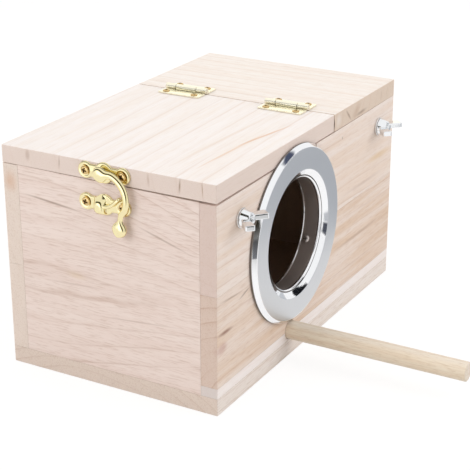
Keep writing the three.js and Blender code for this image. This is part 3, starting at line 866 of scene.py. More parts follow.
@dataclass
class Board:
    """One board of the box, with its sawn edges eased by a rub of sandpaper.

    ease is the width of the eased outer edges; edges glued to a neighbour stay sharp. planed is how
    much the top edge falls along X and along Y, as a share, so that the lid's joint widens, raised
    lifts that edge, and trimmed shortens the board at its far end.
    """

    node: str
    finish: WoodFinish
    body: str = "box"
    slot: str = "pale_wood"
    ease: float = 0.45
    planed: tuple[float, float] = (0.0, 0.0)
    raised: float = 0.0
    trimmed: float = 0.0

    def build(self) -> None:
        """Copies the board's solid, eases its edges and dresses it."""
        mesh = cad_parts[self.node].data.copy()
        mesh.name = self.node + "_sanded"
        work = bmesh.new()
        work.from_mesh(mesh)
        bmesh.ops.remove_doubles(work, verts=work.verts, dist=MERGE * 2 * MM)
        flat = math.radians(1)
        bmesh.ops.dissolve_limit(work, angle_limit=flat, verts=work.verts, edges=work.edges)
        work.to_mesh(mesh)
        work.free()
        self._weigh_edges(mesh)
        self._dress(mesh)
        self._fit(mesh)
        piece = add_object(mesh.name, mesh)
        bevel = piece.modifiers.new("eased_edges", "BEVEL")
        bevel.width = self.ease * MM
        bevel.segments = 3
        bevel.limit_method = "WEIGHT"
        bevel.use_clamp_overlap = False
        bevel.harden_normals = True
        settle(piece, self.node, self.body)

    def _weigh_edges(self, mesh: bpy.types.Mesh) -> None:
        """Marks the edges of the board's outer block that lie on the box's outside.

        Args:
            mesh: the board's mesh.
        """
        places = read(mesh.vertices, "co", 3) / MM
        pair = places[read(mesh.edges, "vertices", 2, np.int32)]
        touching = [
            np.all(np.abs(pair - np.array(corner)) < NEAR, axis=1)
            for corner in (places.min(0), places.max(0), BLOCK_LOW, BLOCK_HIGH)
        ]
        on_board = (touching[0] | touching[1]).sum(axis=1) == 2
        outside = (touching[2] | touching[3]).sum(axis=1) >= 2
        layer = mesh.attributes.new("bevel_weight_edge", "FLOAT", "EDGE")
        layer.data.foreach_set("value", (on_board & outside).astype(np.float32))

    def _fit(self, mesh: bpy.types.Mesh) -> None:
        """Planes the top edge to z + raised + a (x - x1) + b (y - y1), and trims the far end.

        Args:
            mesh: the board's mesh.
        """
        places = read(mesh.vertices, "co", 3)
        high = places.max(0)
        lift = (places[:, :2] - high[:2]) @ np.array(self.planed) + self.raised * MM
        places[:, 2] += np.where(places[:, 2] > high[2] - NEAR * MM, lift, 0.0)
        places[:, 0] -= np.where(places[:, 0] > high[0] - NEAR * MM, self.trimmed * MM, 0.0)
        mesh.vertices.foreach_set("co", places.ravel())

    def _dress(self, mesh: bpy.types.Mesh) -> None:
        """Gives the faces that bound the chamber the inner finish, whose darker colour is painted shade,
        and the rest the board's.

        Args:
            mesh: the board's mesh.
        """
        mesh.materials.clear()
        for finish in (self.finish, INNER_SHADED_WOOD):
            mesh.materials.append(finish.material())
        centres = read(mesh.polygons, "center", 3) / MM
        inner = np.all((centres > CAVITY_LOW) & (centres < CAVITY_HIGH), axis=1)
        mesh.polygons.foreach_set("material_index", inner.astype(np.int32))


BOARDS = (
    Board("base_board", BASE_WOOD),
    Board("front_panel_bottom", FRONT_FOOT_WOOD),
    Board("front_panel_middle", FRONT_BROWN_WOOD, slot="brown_wood"),
    Board("front_panel_upper", FRONT_PALE_WOOD, planed=(0.0038, 0.0)),
    Board("back_panel_lower", BACK_WOOD),
    Board("back_panel_upper", BACK_WOOD),
    Board("clasp_end_panel", END_WOOD, planed=(0.0, 0.0078), raised=0.27),
    Board("far_end_panel", FAR_END_WOOD),
    Board("hinge_strip", ROOF_WOOD),
    Board("fixed_top_board", ROOF_WOOD),
    Board("lid_board", LID_WOOD, "lid", trimmed=0.35),
)


@dataclass(frozen=True)
class Screw:
    """A domed screw or bolt head with its shank, made along the out direction.

    The head's flat underside is at zero and its dome rises out of it. span, width and depth are the
    recess's.
    """

    head: float
    rise: float
    shank: float
    length: float
    tip: float
    span: float
    width: float
    depth: float
    recess: Recess = Recess.CROSS
    rim: float = 0.15
    slot: str = "brass"
    finishes: tuple[MetalFinish, MetalFinish] = (SCREW_BRASS, RECESS_SHADE)

    def build(self, node: str, body: str, seat: Seat, turn: float) -> None:
        """Builds the screw as a piece of its own, on a seat and turned by an angle."""
        name = node + "_cross_head"
        make_piece(name, node, body, self.finishes, [self.sheet(seat, turn)])

    def sheet(self, seat: Seat, turn: float = 0.0) -> Sheet:
        """The screw's surface: a dome with its recess, the rim, the underside, shank and tip.

        The dome's height at a radius r is rim + (rise - rim) sqrt(1 - 0.96 (r / R)^2), less the
        recess, whose floor is flat and whose walls fall within a tenth of a millimetre. The rim's
        edges are drawn in by small parts of its height.

        Args:
            seat: where the head's underside sits.
            turn: the recess's turn.

        Returns:
            The grid, in the box's directions, with finish 0 and, in the recess, finish 1.
        """
        outer, shank, columns = self.head / 2, self.shank / 2, 96
        steps = np.concatenate([[0.0], np.linspace(0.03, 1, 44)])[:, None]
        radius = steps * (outer - self.rim * 0.4)
        dome = self.rim + (self.rise - self.rim) * np.sqrt(1 - (radius / outer) ** 2 * 0.96)
        top = spun(radius, dome, columns)
        cosine, sine = math.cos(math.radians(turn)), math.sin(math.radians(turn))
        u = top[..., 0] * cosine + top[..., 1] * sine
        v = top[..., 1] * cosine - top[..., 0] * sine
        bars = [(v, u * 0)] if self.recess is Recess.SLOT else [(u, v), (v, u)]
        recess = np.maximum.reduce([self._bar(*bar) for bar in bars])
        top[..., 2] -= self.depth * recess
        radii = (outer, outer, outer - self.rim * 0.3, shank, shank, 0.0)
        levels = (self.rim * 0.7, self.rim * 0.2, 0.0, 0.0, self.tip - self.length, -self.length)
        below = spun(np.array(radii)[:, None], np.array(levels)[:, None], columns)
        finish = np.concatenate([recess > 0.4, np.zeros(below.shape[:2])]).astype(int)
        return Sheet(seat.place(np.concatenate([top, below])), False, finish)

    def _bar(self, beside: Points, along: Points) -> Points:
        """One inside a bar as wide and as long as the recess, falling to nought at its edges.

        Args:
            beside: places across the bar.
            along: places along it.

        Returns:
            The mask.
        """
        half, span, soft = self.width / 2, self.span / 2, 0.1
        inside = 1 - smooth_step(half, half + soft, np.abs(beside))
        return inside * (1 - smooth_step(span - soft, span, np.abs(along)))


@dataclass
class Entrance:
    """The turned entrance ring, with its sleeve through the front and the screws that hold it."""

    x: float = -23.0
    z: float = 67.0
    bore: float = 57.4
    sleeve_wall: float = 1.0
    sleeve_length: float = 9.0
    flange: float = 92.8
    rim_height: float = 1.1
    undercut: float = 0.6
    thickness: float = 3.4
    face: float = 89.0
    counterbore: float = 66.8
    floor: float = 60.4
    counterbore_depth: float = 2.1
    groove_width: float = 0.6
    groove_depth: float = 0.5
    lip_drop: float = 0.5
    lip_roll: float = 1.1
    bead: float = 0.25
    bead_start: float = 1.2
    bead_width: float = 0.5
    screw_angles: tuple[float, ...] = (-27.0, 93.0, 213.0)
    screw_depth: float = 5.4
    screw_sink: float = 0.3
    # The screws' recesses take the dark turned finish, as painted shade
    screw: Screw = Screw(
        4.0, 1.0, 1.8, 6.6, 1.4, 2.3, 0.45, 0.3, slot="zinc", finishes=(DULL_ZINC, TURNED_BACK_SHADED)
    )

    def build(self) -> None:
        """Builds the ring and its screws."""
        finishes = (SATIN_FACE, POLISHED_EDGE, DRAWN_SLEEVE, TURNED_BACK_SHADED)
        sheet = turned(front_seat(self.x, self.z), self._corners(), facets=288)
        make_piece("entrance_ring_polished", "entrance_ring", "box", finishes, [sheet])
        for number, angle in enumerate(self.screw_angles, 1):
            self.screw.build(f"ring_screw_{number}", "box", self._screw_seat(angle), turn=20.0)

    def _corners(self) -> list[tuple]:
        """The ring's outline, from the sleeve's inner end round the flange and back through the bore.

        Returns:
            Its corners as (radius, out, fillet, finish).
        """
        # dull is the dark turned finish, whose colour is painted shade at the ring's foot and in its
        # groove
        satin, polished, drawn, dull = range(4)
        bore, sleeve = self.bore / 2, self.bore / 2 + self.sleeve_wall
        flange, front, inner = self.flange / 2, self.thickness, -self.sleeve_length
        floor_out = front - self.counterbore_depth
        groove, groove_out = self.floor / 2, floor_out - self.groove_depth
        step_out = SEAT_GAP + self.undercut * 0.7
        return [
            (sleeve, inner, 0.2, drawn),
            (sleeve, SEAT_GAP, 0.0, dull),
            (flange - self.undercut, SEAT_GAP, 0.1, dull),
            (flange - self.undercut, step_out, 0.1, dull),
            (flange, step_out, 0.1, dull),
            (flange, self.rim_height, 0.2, polished),
            (self.face / 2, front, 0.25, satin),
            (self.counterbore / 2, front, 0.2, polished),
            (groove, floor_out, 0.05, dull),
            (groove, groove_out, 0.1, dull),
            (groove - self.groove_width, groove_out, 0.1, dull),
            (groove - self.groove_width, floor_out, 0.05, polished),
            (bore, floor_out - self.lip_drop, self.lip_roll, drawn),
            (bore, inner + self.bead_start, 0.3, polished),
            (bore - self.bead, inner + self.bead_width, 0.25, drawn),
            (bore - self.bead, inner, 0.2, drawn),
        ]

    def _screw_seat(self, angle: float) -> Seat:
        """Where a screw's head sits on the sleeve at an angle, facing the ring's middle.

        Args:
            angle: how far round the sleeve it is, from +X.

        Returns:
            The seat.
        """
        cosine, sine = math.cos(math.radians(angle)), math.sin(math.radians(angle))
        middle = front_seat(self.x, self.z).at(0.0, 0.0, -self.screw_depth).origin
        seat = Seat(middle, (-sine, 0.0, cosine), (0.0, 1.0, 0.0), (-cosine, 0.0, -sine))
        return seat.at(0.0, 0.0, self.screw_sink - self.bore / 2)


@dataclass
class Perch:
    """A dowel pushed into the front, with its sawn end rubbed round."""

    x: float = -25.5
    z: float = 14.7
    diameter: float = 10.0
    reach: float = 97.0
    depth: float = 9.0
    end_round: float = 0.7
    waist: float = 0.05
    waist_length: float = 11.0

    def build(self) -> None:
        """Builds the dowel, whose radius wanders by a few hundredths as a milled dowel's does.

        Along its side the radius is R - waist (1 + sin(out / waist_length)) / 2.
        """
        radius, steps = self.diameter / 2, 8
        inner = [(0.0, -self.depth, 0.0), (radius, -self.depth, 0.2)]
        corners = [*inner, (radius, self.reach, self.end_round), (0.0, self.reach, 0.0)]
        profile, _ = filleted(corners, ring=False, steps=steps)
        low, high = profile[steps + 1], profile[-steps - 2]
        side = low + np.linspace(0, 1, 60)[:, None] * (high - low)
        profile = np.concatenate([profile[: steps + 1], side, profile[-steps - 1 :]])
        wander = self.waist * (0.5 + 0.5 * np.sin(profile[:, 1] / self.waist_length))
        profile[:, 0] -= wander * (profile[:, 0] > radius * 0.9)
        grid = front_seat(self.x, self.z).place(spun(profile[:, :1], profile[:, 1:], 96))
        make_piece("perch_dowel", "perch", "perch", (PERCH_WOOD,), [Sheet(grid)])


@dataclass
class Clamp:
    """A machine bolt through the front, with its washer and wing nut.

    thread_rows is how many rows of points each turn of the thread has.
    """

    end: str
    x: float
    z: float
    turn: float
    wall: float = 9.0
    bolt: float = 4.0
    bolt_length: float = 16.0
    bolt_tip: float = 0.6
    pitch: float = 0.7
    thread_depth: float = 0.38
    thread_rows: int = 8
    head: Screw = Screw(8.6, 2.4, 3.0, 0.4, 0.2, 9.0, 1.1, 1.1, Recess.SLOT, 0.5)
    washer: float = 10.0
    washer_hole: float = 4.6
    washer_thickness: float = 1.0
    hub_base: float = 9.7
    hub_top: float = 6.6
    hub_height: float = 4.6
    hub_bore: float = 4.6
    wing_span: float = 20.0
    wing_height: float = 10.4
    wing_thickness: float = 2.8
    wing_edge: float = 0.5
    voxel: float = 0.16

    def build(self) -> None:
        """Builds the bolt, the washer and the nut."""
        seat = front_seat(self.x, self.z)
        self._build_bolt(seat)
        self._build_washer(seat)
        self._build_nut(seat)

    def _build_bolt(self, seat: Seat) -> None:
        """The bolt: a slotted round head inside the box and a threaded shank.

        The thread's radius is R - d w(out / pitch - t / turn), where w is a triangle wave.

        Args:
            seat: the front face round the bolt.
        """
        low, columns = -self.wall - SEAT_GAP, 48
        high = low + self.bolt_length
        inside = replace(seat.at(0.0, 0.0, low), across=(-1, 0, 0), out=(0, 1, 0))
        rows = int(self.bolt_length / self.pitch * self.thread_rows)
        out = np.linspace(low, high, rows)[:, None]
        phase = out / self.pitch - around(columns) / TURN
        radius = self.bolt / 2 - self.thread_depth * np.abs(2 * (phase % 1) - 1)
        radius = np.minimum(radius, self.bolt / 2 - np.clip(out - high + self.bolt_tip, 0, 1))
        radius = np.pad(radius, ((1, 1), (0, 0)))
        shank = seat.place(spun(radius, np.pad(out, ((1, 1), (0, 0)), "edge"), columns))
        node = f"clamp_bolt_{self.end}"
        sheets = [self.head.sheet(inside), Sheet(shank)]
        finishes = (TURNED_ZINC, RECESS_SHADE)
        make_piece(node + "_threaded", node, "box", finishes, sheets, crease=50.0)

    def _build_washer(self, seat: Seat) -> None:
        """The washer, stamped, with one rolled edge, on its seat.

        Args:
            seat: the front face round the bolt.
        """
        low, high = SEAT_GAP, SEAT_GAP + self.washer_thickness
        outer, inner = self.washer / 2, self.washer_hole / 2
        corners = [(outer, low, 0.15), (outer, high, 0.3), (inner, high, 0.15), (inner, low, 0.1)]
        node = f"clamp_washer_{self.end}"
        sheets = [turned(seat, corners, facets=96)]
        make_piece(node + "_stamped", node, f"washer_{self.end}", (TURNED_ZINC,), sheets)

    def _build_nut(self, seat: Seat) -> None:
        """The nut: a tapered hub and two wings, melted together as a casting is.

        Args:
            seat: the front face round the bolt.
        """
        cosine, sine = math.cos(math.radians(self.turn)), math.sin(math.radians(self.turn))
        face = seat.at(0.0, 0.0, self.washer_thickness + 2 * SEAT_GAP)
        face = replace(face, across=(cosine, 0.0, sine), up=(-sine, 0.0, cosine))
        bore, top = self.hub_bore / 2, self.hub_height
        corners = [(bore, 0.0, 0.1), (self.hub_base / 2, 0.0, 0.3)]
        corners += [(self.hub_top / 2, top, 0.7), (bore, top, 0.3)]
        sheets = [turned(face, corners, facets=64)]
        sheets += [Sheet(face.place(self._wing() * (side, 1, 1))) for side in (1, -1)]
        node, body = f"wing_nut_{self.end}", f"nut_{self.end}"
        finishes = (CAST_ZINC,)
        make_piece(node + "_cast", node, body, finishes, sheets, crease=180.0, voxel=self.voxel)

    def _wing(self) -> Points:
        """One wing: a flat ear that leans outwards, drawn in towards its middle at its edges.

        Its corners lie at shares of the wing's reach and height, each with its fillet.

        Returns:
            Its grid of points on the nut's face.
        """
        tip, top, half = self.wing_span / 2, self.wing_height, self.wing_thickness / 2
        corners = [(0.0, 0.9, 0.2), (tip * 0.62, 2.3, 1.6), (tip, top * 0.6, 1.1)]
        corners += [(tip * 0.7, top, 1.1), (tip * 0.2, top * 0.42, 1.2), (0.0, top * 0.38, 0.2)]
        outline, _ = filleted(corners, ring=True, steps=8)
        inward = outline.mean(axis=0) - outline
        inward /= np.linalg.norm(inward, axis=1, keepdims=True)
        return slab(outline, inward, -half, half, self.wing_edge, 6)[..., [0, 2, 1]]


@dataclass
class Hinge:
    """A pressed brass butt hinge that lies open over the joint between the lid and the roof."""

    place: str
    y: float
    axis_x: float = 22.05
    axis_z: float = 118.7
    length: float = 25.4
    open_width: float = 19.6
    barrel: float = 3.2
    leaf: float = 0.8
    pin: float = 1.4
    pin_head: float = 0.3
    pin_swell: float = 1.2
    bore: float = 1.9
    middle: float = 12.4
    knuckle_gap: float = 0.25
    knuckle_round: float = 0.25
    overlap: float = 1.0
    corner: float = 0.9
    edge: float = 0.22
    screw_row: float = 7.2
    screw_spacing: float = 17.5
    screw_gap: float = 0.02
    screw: Screw = Screw(3.8, 0.75, 1.8, 7.5, 2.0, 2.1, 0.5, 0.45)

    def build(self) -> None:
        """Builds both leaves, the pin and the screws."""
        half, mid = self.length / 2, self.middle / 2
        outer = [(-half, -mid - self.knuckle_gap), (mid + self.knuckle_gap, half)]
        self._build_leaf("fixed", 1, outer, "box")
        self._build_leaf("lid", -1, [(-mid, mid)], "lid")
        self._build_pin()

    def _seat(self, side: int) -> Seat:
        """The hinge's own directions: across towards a leaf's edge, up along the pin."""
        return Seat((self.axis_x, self.y, self.axis_z), (side, 0, 0), (0, side, 0), (0, 0, 1))

    def _pin_seat(self, side: int) -> Seat:
        """The same, with out along the pin."""
        return replace(self._seat(side), up=(0, 0, 1), out=(0, side, 0))

    def _build_leaf(self, leaf: str, side: int, spans: list[tuple], body: str) -> None:
        """One leaf: a flat plate with round corners, and the knuckles rolled from its edge.

        Args:
            leaf: the leaf's name.
            side: 1 towards the far end and -1 towards the latch.
            spans: where its knuckles start and end along the pin.
            body: the body that it rides on.
        """
        seat, half = self._seat(side), self.length / 2
        start = self.barrel / 2 + self.knuckle_gap
        sheets = [Sheet(seat.place(self._plate(start, self.open_width / 2, -half, half)))]
        for low, high in spans:
            sheets.append(Sheet(seat.place(self._plate(0.0, start + self.overlap, low, high))))
            bore, radius, soft = self.bore / 2, self.barrel / 2, self.knuckle_round
            tube = [(bore, low, 0.0), (radius, low, soft), (radius, high, soft), (bore, high, 0.0)]
            sheets.append(turned(self._pin_seat(side), tube, facets=48))
        node = f"hinge_{self.place}_{leaf}_leaf"
        make_piece(node + "_pressed", node, body, (PRESSED_BRASS,), sheets)
        screw_out = -self.barrel / 2 + self.leaf + self.screw_gap
        for number, along in enumerate((-1, 1), 1):
            own = seat.at(self.screw_row, along * self.screw_spacing / 2, screw_out)
            name = f"hinge_{self.place}_{leaf}_screw_{number}"
            self.screw.build(name, body, own, turn=35.0 * number + 12.0 * side)

    def _plate(self, x0: float, x1: float, y0: float, y1: float) -> Points:
        """A plate with round corners and rounded edges.

        A corner's points are its centre + corner (cos t, sin t), and each goes in along that way.

        Args:
            x0: where it starts across.
            x1: where it ends across.
            y0: where it starts along the pin.
            y1: where it ends along the pin.

        Returns:
            The plate's grid of points.
        """
        centre, half = np.array([x0 + x1, y0 + y1]) / 2, np.array([x1 - x0, y1 - y0]) / 2
        corner = min(self.corner, float(half.min()) * 0.9)
        quarter = np.linspace(0, TURN / 4, 7)
        angle = np.concatenate([quarter + index * TURN / 4 for index in range(4)])
        signs = np.repeat([(1, 1), (-1, 1), (-1, -1), (1, -1)], len(quarter), axis=0)
        ways = np.column_stack([np.cos(angle), np.sin(angle)])
        outline = centre + signs * (half - corner) + ways * corner
        low = -self.barrel / 2
        return slab(outline, -ways, low, low + self.leaf, self.edge, 5)

    def _build_pin(self) -> None:
        """The pin, peened to a low dome at both ends."""
        half, radius, head = self.length / 2, self.pin / 2, self.pin_head
        upper = [(radius, half - 0.2, 0.1), (radius * self.pin_swell, half + head * 0.2, 0.15)]
        upper.append((0.0, half + head, 0.0))
        corners = [(r, -out, fillet) for r, out, fillet in upper[::-1]] + upper
        node = f"hinge_{self.place}_pin"
        sheets = [turned(self._pin_seat(1), corners, facets=32, ring=False)]
        make_piece(node + "_peened", node, "box", (PRESSED_BRASS,), sheets)


@dataclass
class Latch:
    """The cast brass swing-hook latch: a plate with a swinging hook, and a keeper below it.

    The dome_ sizes are those of the keeper's hooded boss. tongue_half is its tongue's half width and
    half height, which lose tongue_thins on the way up. The arc_ sizes give the circle that the hook
    bends along, and the knob_ sizes its end. A place is across the end and up from a plate.
    """

    plate_z: float = 112.6
    keeper_z: float = 97.0
    thickness: float = 1.2
    spacing: float = 20.6
    lobe: float = 4.2
    middle: float = 5.2
    neck: float = 3.2
    edge: float = 0.8
    crown: float = 0.35
    dish: float = 0.35
    dish_radii: tuple[float, float] = (2.3, 3.2)
    dome_across: float = -2.1
    dome_half: float = 3.5
    dome_rise: float = 3.3
    dome_top: float = 5.2
    dome_front: float = 0.9
    dome_bottom: float = -2.4
    dome_foot: float = 2.6
    tongue_route: tuple[Triple, ...] = (
        (-1.0, -0.4, 2.2), (2.0, -0.3, 2.4), (5.2, 1.2, 2.6), (8.0, 3.6, 2.4), (9.6, 5.4, 1.6)
    )
    tongue_half: tuple[float, float] = (1.15, 1.2)
    tongue_thins: tuple[float, float] = (0.35, 0.2)
    arm_out: float = 2.6
    arm_thickness: float = 2.4
    arm_half: float = 2.0
    neck_half: float = 1.45
    arc_radius: float = 11.8
    arc_across: float = 2.0
    arc_drop: float = 10.8
    arc_turns: tuple[float, ...] = (72, 48, 24, 0, -22, -42)
    boss: float = 3.9
    boss_rise: float = 3.2
    boss_spread: float = 3.2
    knob_across: float = 9.8
    knob_drop: float = 25.3
    knob_way: tuple[float, float] = (-0.2, -1.0)
    knob: float = 4.0
    knob_thickness: float = 4.2
    knob_spread: float = 2.8
    rivet: float = 2.4
    rivet_foot: float = 4.4
    rivet_foot_top: float = 0.6
    rivet_top: float = 3.9
    screw: Screw = Screw(4.4, 0.85, 2.0, 7.5, 2.0, 2.7, 0.6, 0.55)

    def build(self) -> None:
        """Builds the plate, the hook, the keeper, the rivet and the screws."""
        upper = ("latch_plate", "latch_plate", "lid", self.plate_z, [self._plate(self.plate_z)])
        cast = [self._plate(self.keeper_z, True), self._tongue()]
        lower = ("latch_keeper", "keeper", "box", self.keeper_z, cast)
        for node, prefix, body, z, sheets in (upper, lower):
            make_piece(node + "_cast", node, body, (CAST_BRASS,), sheets)
            for side, sign in (("back", -1), ("front", 1)):
                seat = latch_seat(z).at(sign * self.spacing / 2, 0.0, self.thickness + SEAT_GAP)
                self.screw.build(f"{prefix}_screw_{side}", body, seat, turn=25.0 + 40.0 * sign)
        hook = [self._hook()]
        body = "latch_arm"
        make_piece("latch_hook_cast", body, body, (CAST_BRASS,), hook, crease=60.0)
        self._build_rivet()

    def _plate(self, z: float, domed: bool = False) -> Sheet:
        """A plate of three round lobes joined by necks, with a rolled edge and a dished top.

        At each place along it the half width is the widest of the lobes there. The top's height
        is a quarter round of the distance to the outline, plus a slight crown, less a dish round
        each screw.

        Args:
            z: the plate's height on the box.
            domed: whether the keeper's boss rises from it.

        Returns:
            The plate's grid.
        """
        rows, columns = 170, 60
        reach = self.spacing / 2 + self.lobe
        along = -reach * np.cos(np.linspace(0, math.pi, rows))[:, None]
        centres = np.array([-self.spacing / 2, 0.0, self.spacing / 2])
        radii = np.array([self.lobe, self.middle, self.lobe])
        own = np.sqrt(np.clip(radii**2 - (along - centres) ** 2, 0, None))
        inside = np.abs(along) < self.spacing / 2
        half = np.maximum(own.max(axis=1, keepdims=True), np.where(inside, self.neck, 0.0))
        u = np.broadcast_to(along, (rows, columns))
        v = half * np.sin(np.linspace(-math.pi / 2, math.pi / 2, columns))
        lobes = [r - np.hypot(u - c, v) for c, r in zip(centres, radii)]
        distance = np.maximum.reduce([*lobes, np.where(inside, self.neck - np.abs(v), 0.0)])
        share = np.clip(distance / self.edge, 0, 1)
        top = SEAT_GAP + self.thickness * np.sqrt(1 - (1 - share) ** 2)
        top += self.crown * smooth_step(0, self.middle, distance)
        for c in (centres[0], centres[2]):
            top -= self.dish * (1 - smooth_step(*self.dish_radii, np.hypot(u - c, v))) * share
        if domed:
            top = np.maximum(top, self._dome(u, v))
        upper, lower = (np.stack([u, v, level], axis=-1) for level in (top, np.full_like(top, SEAT_GAP)))
        grid = np.concatenate([upper, lower[:, -2:0:-1]], axis=1)
        return Sheet(latch_seat(z).place(grid))

    def _dome(self, u: Points, v: Points) -> Points:
        """The keeper's hooded boss: a sloping upper side, a blunt front and a round lower end.

        Across it the height falls as the root of 1 - |s|^2.2. Upwards it slopes to nothing, and
        below the front it falls as a quarter circle. Slope t turns to front as 1 - (1.3 - t)^2 / 1.2
        past 0.7, along an arc.

        Args:
            u: places across the end.
            v: places up from the keeper's middle.

        Returns:
            The dome's height over the seat.
        """
        side = u - self.dome_across
        width = np.sqrt(np.clip(1 - np.abs(side / self.dome_half) ** 2.2, 0, 1))
        front = self.dome_front - 0.1 * side**2
        slope = np.clip((self.dome_top - v) / (self.dome_top - front), 0, 1.3)
        slope = np.where(slope < 0.7, slope, 1 - (1.3 - slope) ** 2 / 1.2)
        foot = half_round((self.dome_bottom - v) / self.dome_foot)
        return SEAT_GAP + self.thickness * 0.6 + self.dome_rise * width * slope * foot

    def _tongue(self) -> Sheet:
        """The keeper's tongue, a bar that thins from the boss up to where the hook closes.

        It closes as a quarter circle over its first 0.05 and its last 0.15.

        Returns:
            The tongue's grid.
        """
        path = smooth_path(np.array(self.tongue_route), 12)
        share = np.linspace(0, 1, len(path))
        ends = half_round((share - 0.85) / 0.15) * half_round((0.05 - share) / 0.05)
        sizes = zip(self.tongue_half, self.tongue_thins)
        wide, high = ((half - thins * share) * ends for half, thins in sizes)
        return Sheet(latch_seat(self.keeper_z).place(swept(path, wide, high, power=2.0)))

    def _hook(self) -> Sheet:
        """The hook: a boss at the pivot, an arc to the front and a neck to the knob.

        The half width along the path is the largest of a circle round the pivot, the bar's own
        width and a circle round the knob, so the ends close as round lobes, and is then smoothed
        over reach points to each side. The height swells at both as exp(-(distance / spread)^2),
        and falls with the width where that is less. The bar has a crest and its ends are round.

        Returns:
            The hook's grid.
        """
        turns = np.radians(self.arc_turns)
        arc = self.arc_radius * np.column_stack([np.cos(turns), np.sin(turns)])
        arc += (self.arc_across, -self.arc_drop)
        knob = np.array([self.knob_across, -self.knob_drop])
        way = np.array(self.knob_way) / np.hypot(*self.knob_way)
        start = [(-self.boss, -0.5), (0.0, 0.2)]
        path = smooth_path(np.vstack([start, arc, [knob - way * 0.3, knob + way * self.knob]]), 16)
        step = np.linalg.norm(np.diff(path, axis=0), axis=1)
        length = np.concatenate([[0], np.cumsum(step)])
        total = length[-1]
        share = length / total
        from_pivot, from_knob = length - self.boss, total - self.knob - length
        bar = self.arm_half + (self.neck_half - self.arm_half) * smooth_step(0.35, 0.85, share)
        pivot = np.sqrt(np.clip(self.boss**2 - from_pivot**2, 0, None))
        ball = np.sqrt(np.clip(self.knob**2 - from_knob**2, 0, None))
        between = (from_pivot > 0) & (from_knob > 0)
        wide = np.maximum.reduce([np.where(between, bar, 0.0), pivot, ball])
        reach = 4
        kernel = np.hanning(2 * reach + 1)
        padded = np.concatenate([-wide[reach:0:-1], wide, -wide[-2 : -2 - reach : -1]])
        wide = np.clip(np.convolve(padded, kernel / kernel.sum(), "valid"), 0, None)
        wide[0] = wide[-1] = 0.0
        thick = self.arm_thickness
        swell = (self.boss_rise - thick) / 2 * np.exp(-((from_pivot / self.boss_spread) ** 2))
        bulge = (self.knob_thickness - thick) / 2 * np.exp(-((from_knob / self.knob_spread) ** 2))
        high = thick / 2 + swell + bulge
        high *= np.clip(wide / np.minimum(high, 1.6), 0, 1) ** 0.6
        centres = np.column_stack([path, self.arm_out + thick / 2 + swell])
        round_ends = smooth_step(0.8, 0.92, share) + 1 - smooth_step(0.02, 0.2, share)
        grid = swept(centres, wide, high, power=1.4 + 0.6 * round_ends, columns=64)
        return Sheet(latch_seat(self.plate_z).place(grid))

    def _build_rivet(self) -> None:
        """The rivet that the hook turns on, flat against the wood and hidden under the boss."""
        foot, shank, step = self.rivet_foot / 2, self.rivet / 2, self.rivet_foot_top
        corners = [(0.0, SEAT_GAP, 0.0), (foot, SEAT_GAP, 0.1), (foot, step, 0.1), (shank, step, 0.05)]
        corners += [(shank, self.rivet_top, 0.2), (0.0, self.rivet_top, 0.0)]
        sheets = [turned(latch_seat(self.plate_z), corners, facets=32, ring=False)]
        make_piece("latch_rivet_turned", "latch_rivet", "lid", (CAST_BRASS,), sheets)


# Studio

CAMERA_PLACE = (-600.1, -349.2, 326.8)


@dataclass(frozen=True)
class Card:
    """A card that only reflections see, part of a ball round the spot that mirrors it.

    turn and rise are the way from the spot to the card's middle, wide and high its size in degrees,
    far its distance, soft the share of it that fades, and glow its brightness, with 1 for the white
    of the surroundings.
    """

    name: str
    spot: Triple
    turn: float
    rise: float
    wide: float
    high: float
    far: float
    colour: str
    soft: float = 0.3
    glow: float = 1.0

    def build(self) -> None:
        """Builds the card as spot + far times its ways, with a grid over turn and rise."""
        across, up = np.meshgrid(np.linspace(-1, 1, 49), np.linspace(-1, 1, 13))
        turn = np.radians(self.turn + across * self.wide / 2)
        rise = np.radians(self.rise + up * self.high / 2)
        ways = self._ways(turn, rise)
        points = np.array(self.spot) + ways * self._reach(ways)
        faces, _ = Sheet(points, tube=False).faces()
        mesh = bpy.data.meshes.new(self.name)
        mesh.from_pydata((points.reshape(-1, 3) * MM).tolist(), [], faces.tolist())
        spread = mesh.uv_layers.new(name="spread")
        pairs = np.stack([across.ravel(), up.ravel()], axis=-1)[faces.ravel()]
        spread.data.foreach_set("uv", pairs.astype(np.float32).ravel())
        mesh.materials.append(self._glow_face())
        card = add_object(self.name, mesh)
        for kind in ("camera", "diffuse", "transmission", "volume_scatter", "shadow"):
            setattr(card, "visible_" + kind, False)

    def _ways(self, turn: Points, rise: Points) -> Points:
        """The ways (cos t cos e, sin t cos e, sin e) for a turn t and a rise e."""
        return np.stack([np.cos(turn) * np.cos(rise), np.sin(turn) * np.cos(rise), np.sin(rise)], -1)

    def _reach(self, ways: Points) -> Points | float:
        """How far the card is along each way: the same all over, so it is part of a ball."""
        return self.far

    def _glow_face(self) -> bpy.types.Material:
        """A face that glows in the card's colour though it is no lamp, and fades out towards the card's
        edges.

        Returns:
            The material.
        """
        material, tree = new_material(self.name + "_glow_face")
        spread = add_node(tree, "UVMap", uv_map="spread")
        size = add_node(tree, "VectorMath", [spread], operation="ABSOLUTE")
        axes = add_node(tree, "SeparateXYZ", [size]).outputs
        outer = add_node(tree, "Math", [axes[0], axes[1]], operation="MAXIMUM")
        span = [outer, 1.0 - self.soft, 1.0]
        fade = add_node(tree, "MapRange", span, interpolation_type="SMOOTHSTEP")
        glow = add_node(tree, "Emission", [linear(self.colour), self.glow])
        clear = add_node(tree, "BsdfTransparent")
        mixed = add_node(tree, "MixShader", [fade, glow, clear])
        add_node(tree, "OutputMaterial", [mixed])
        return material


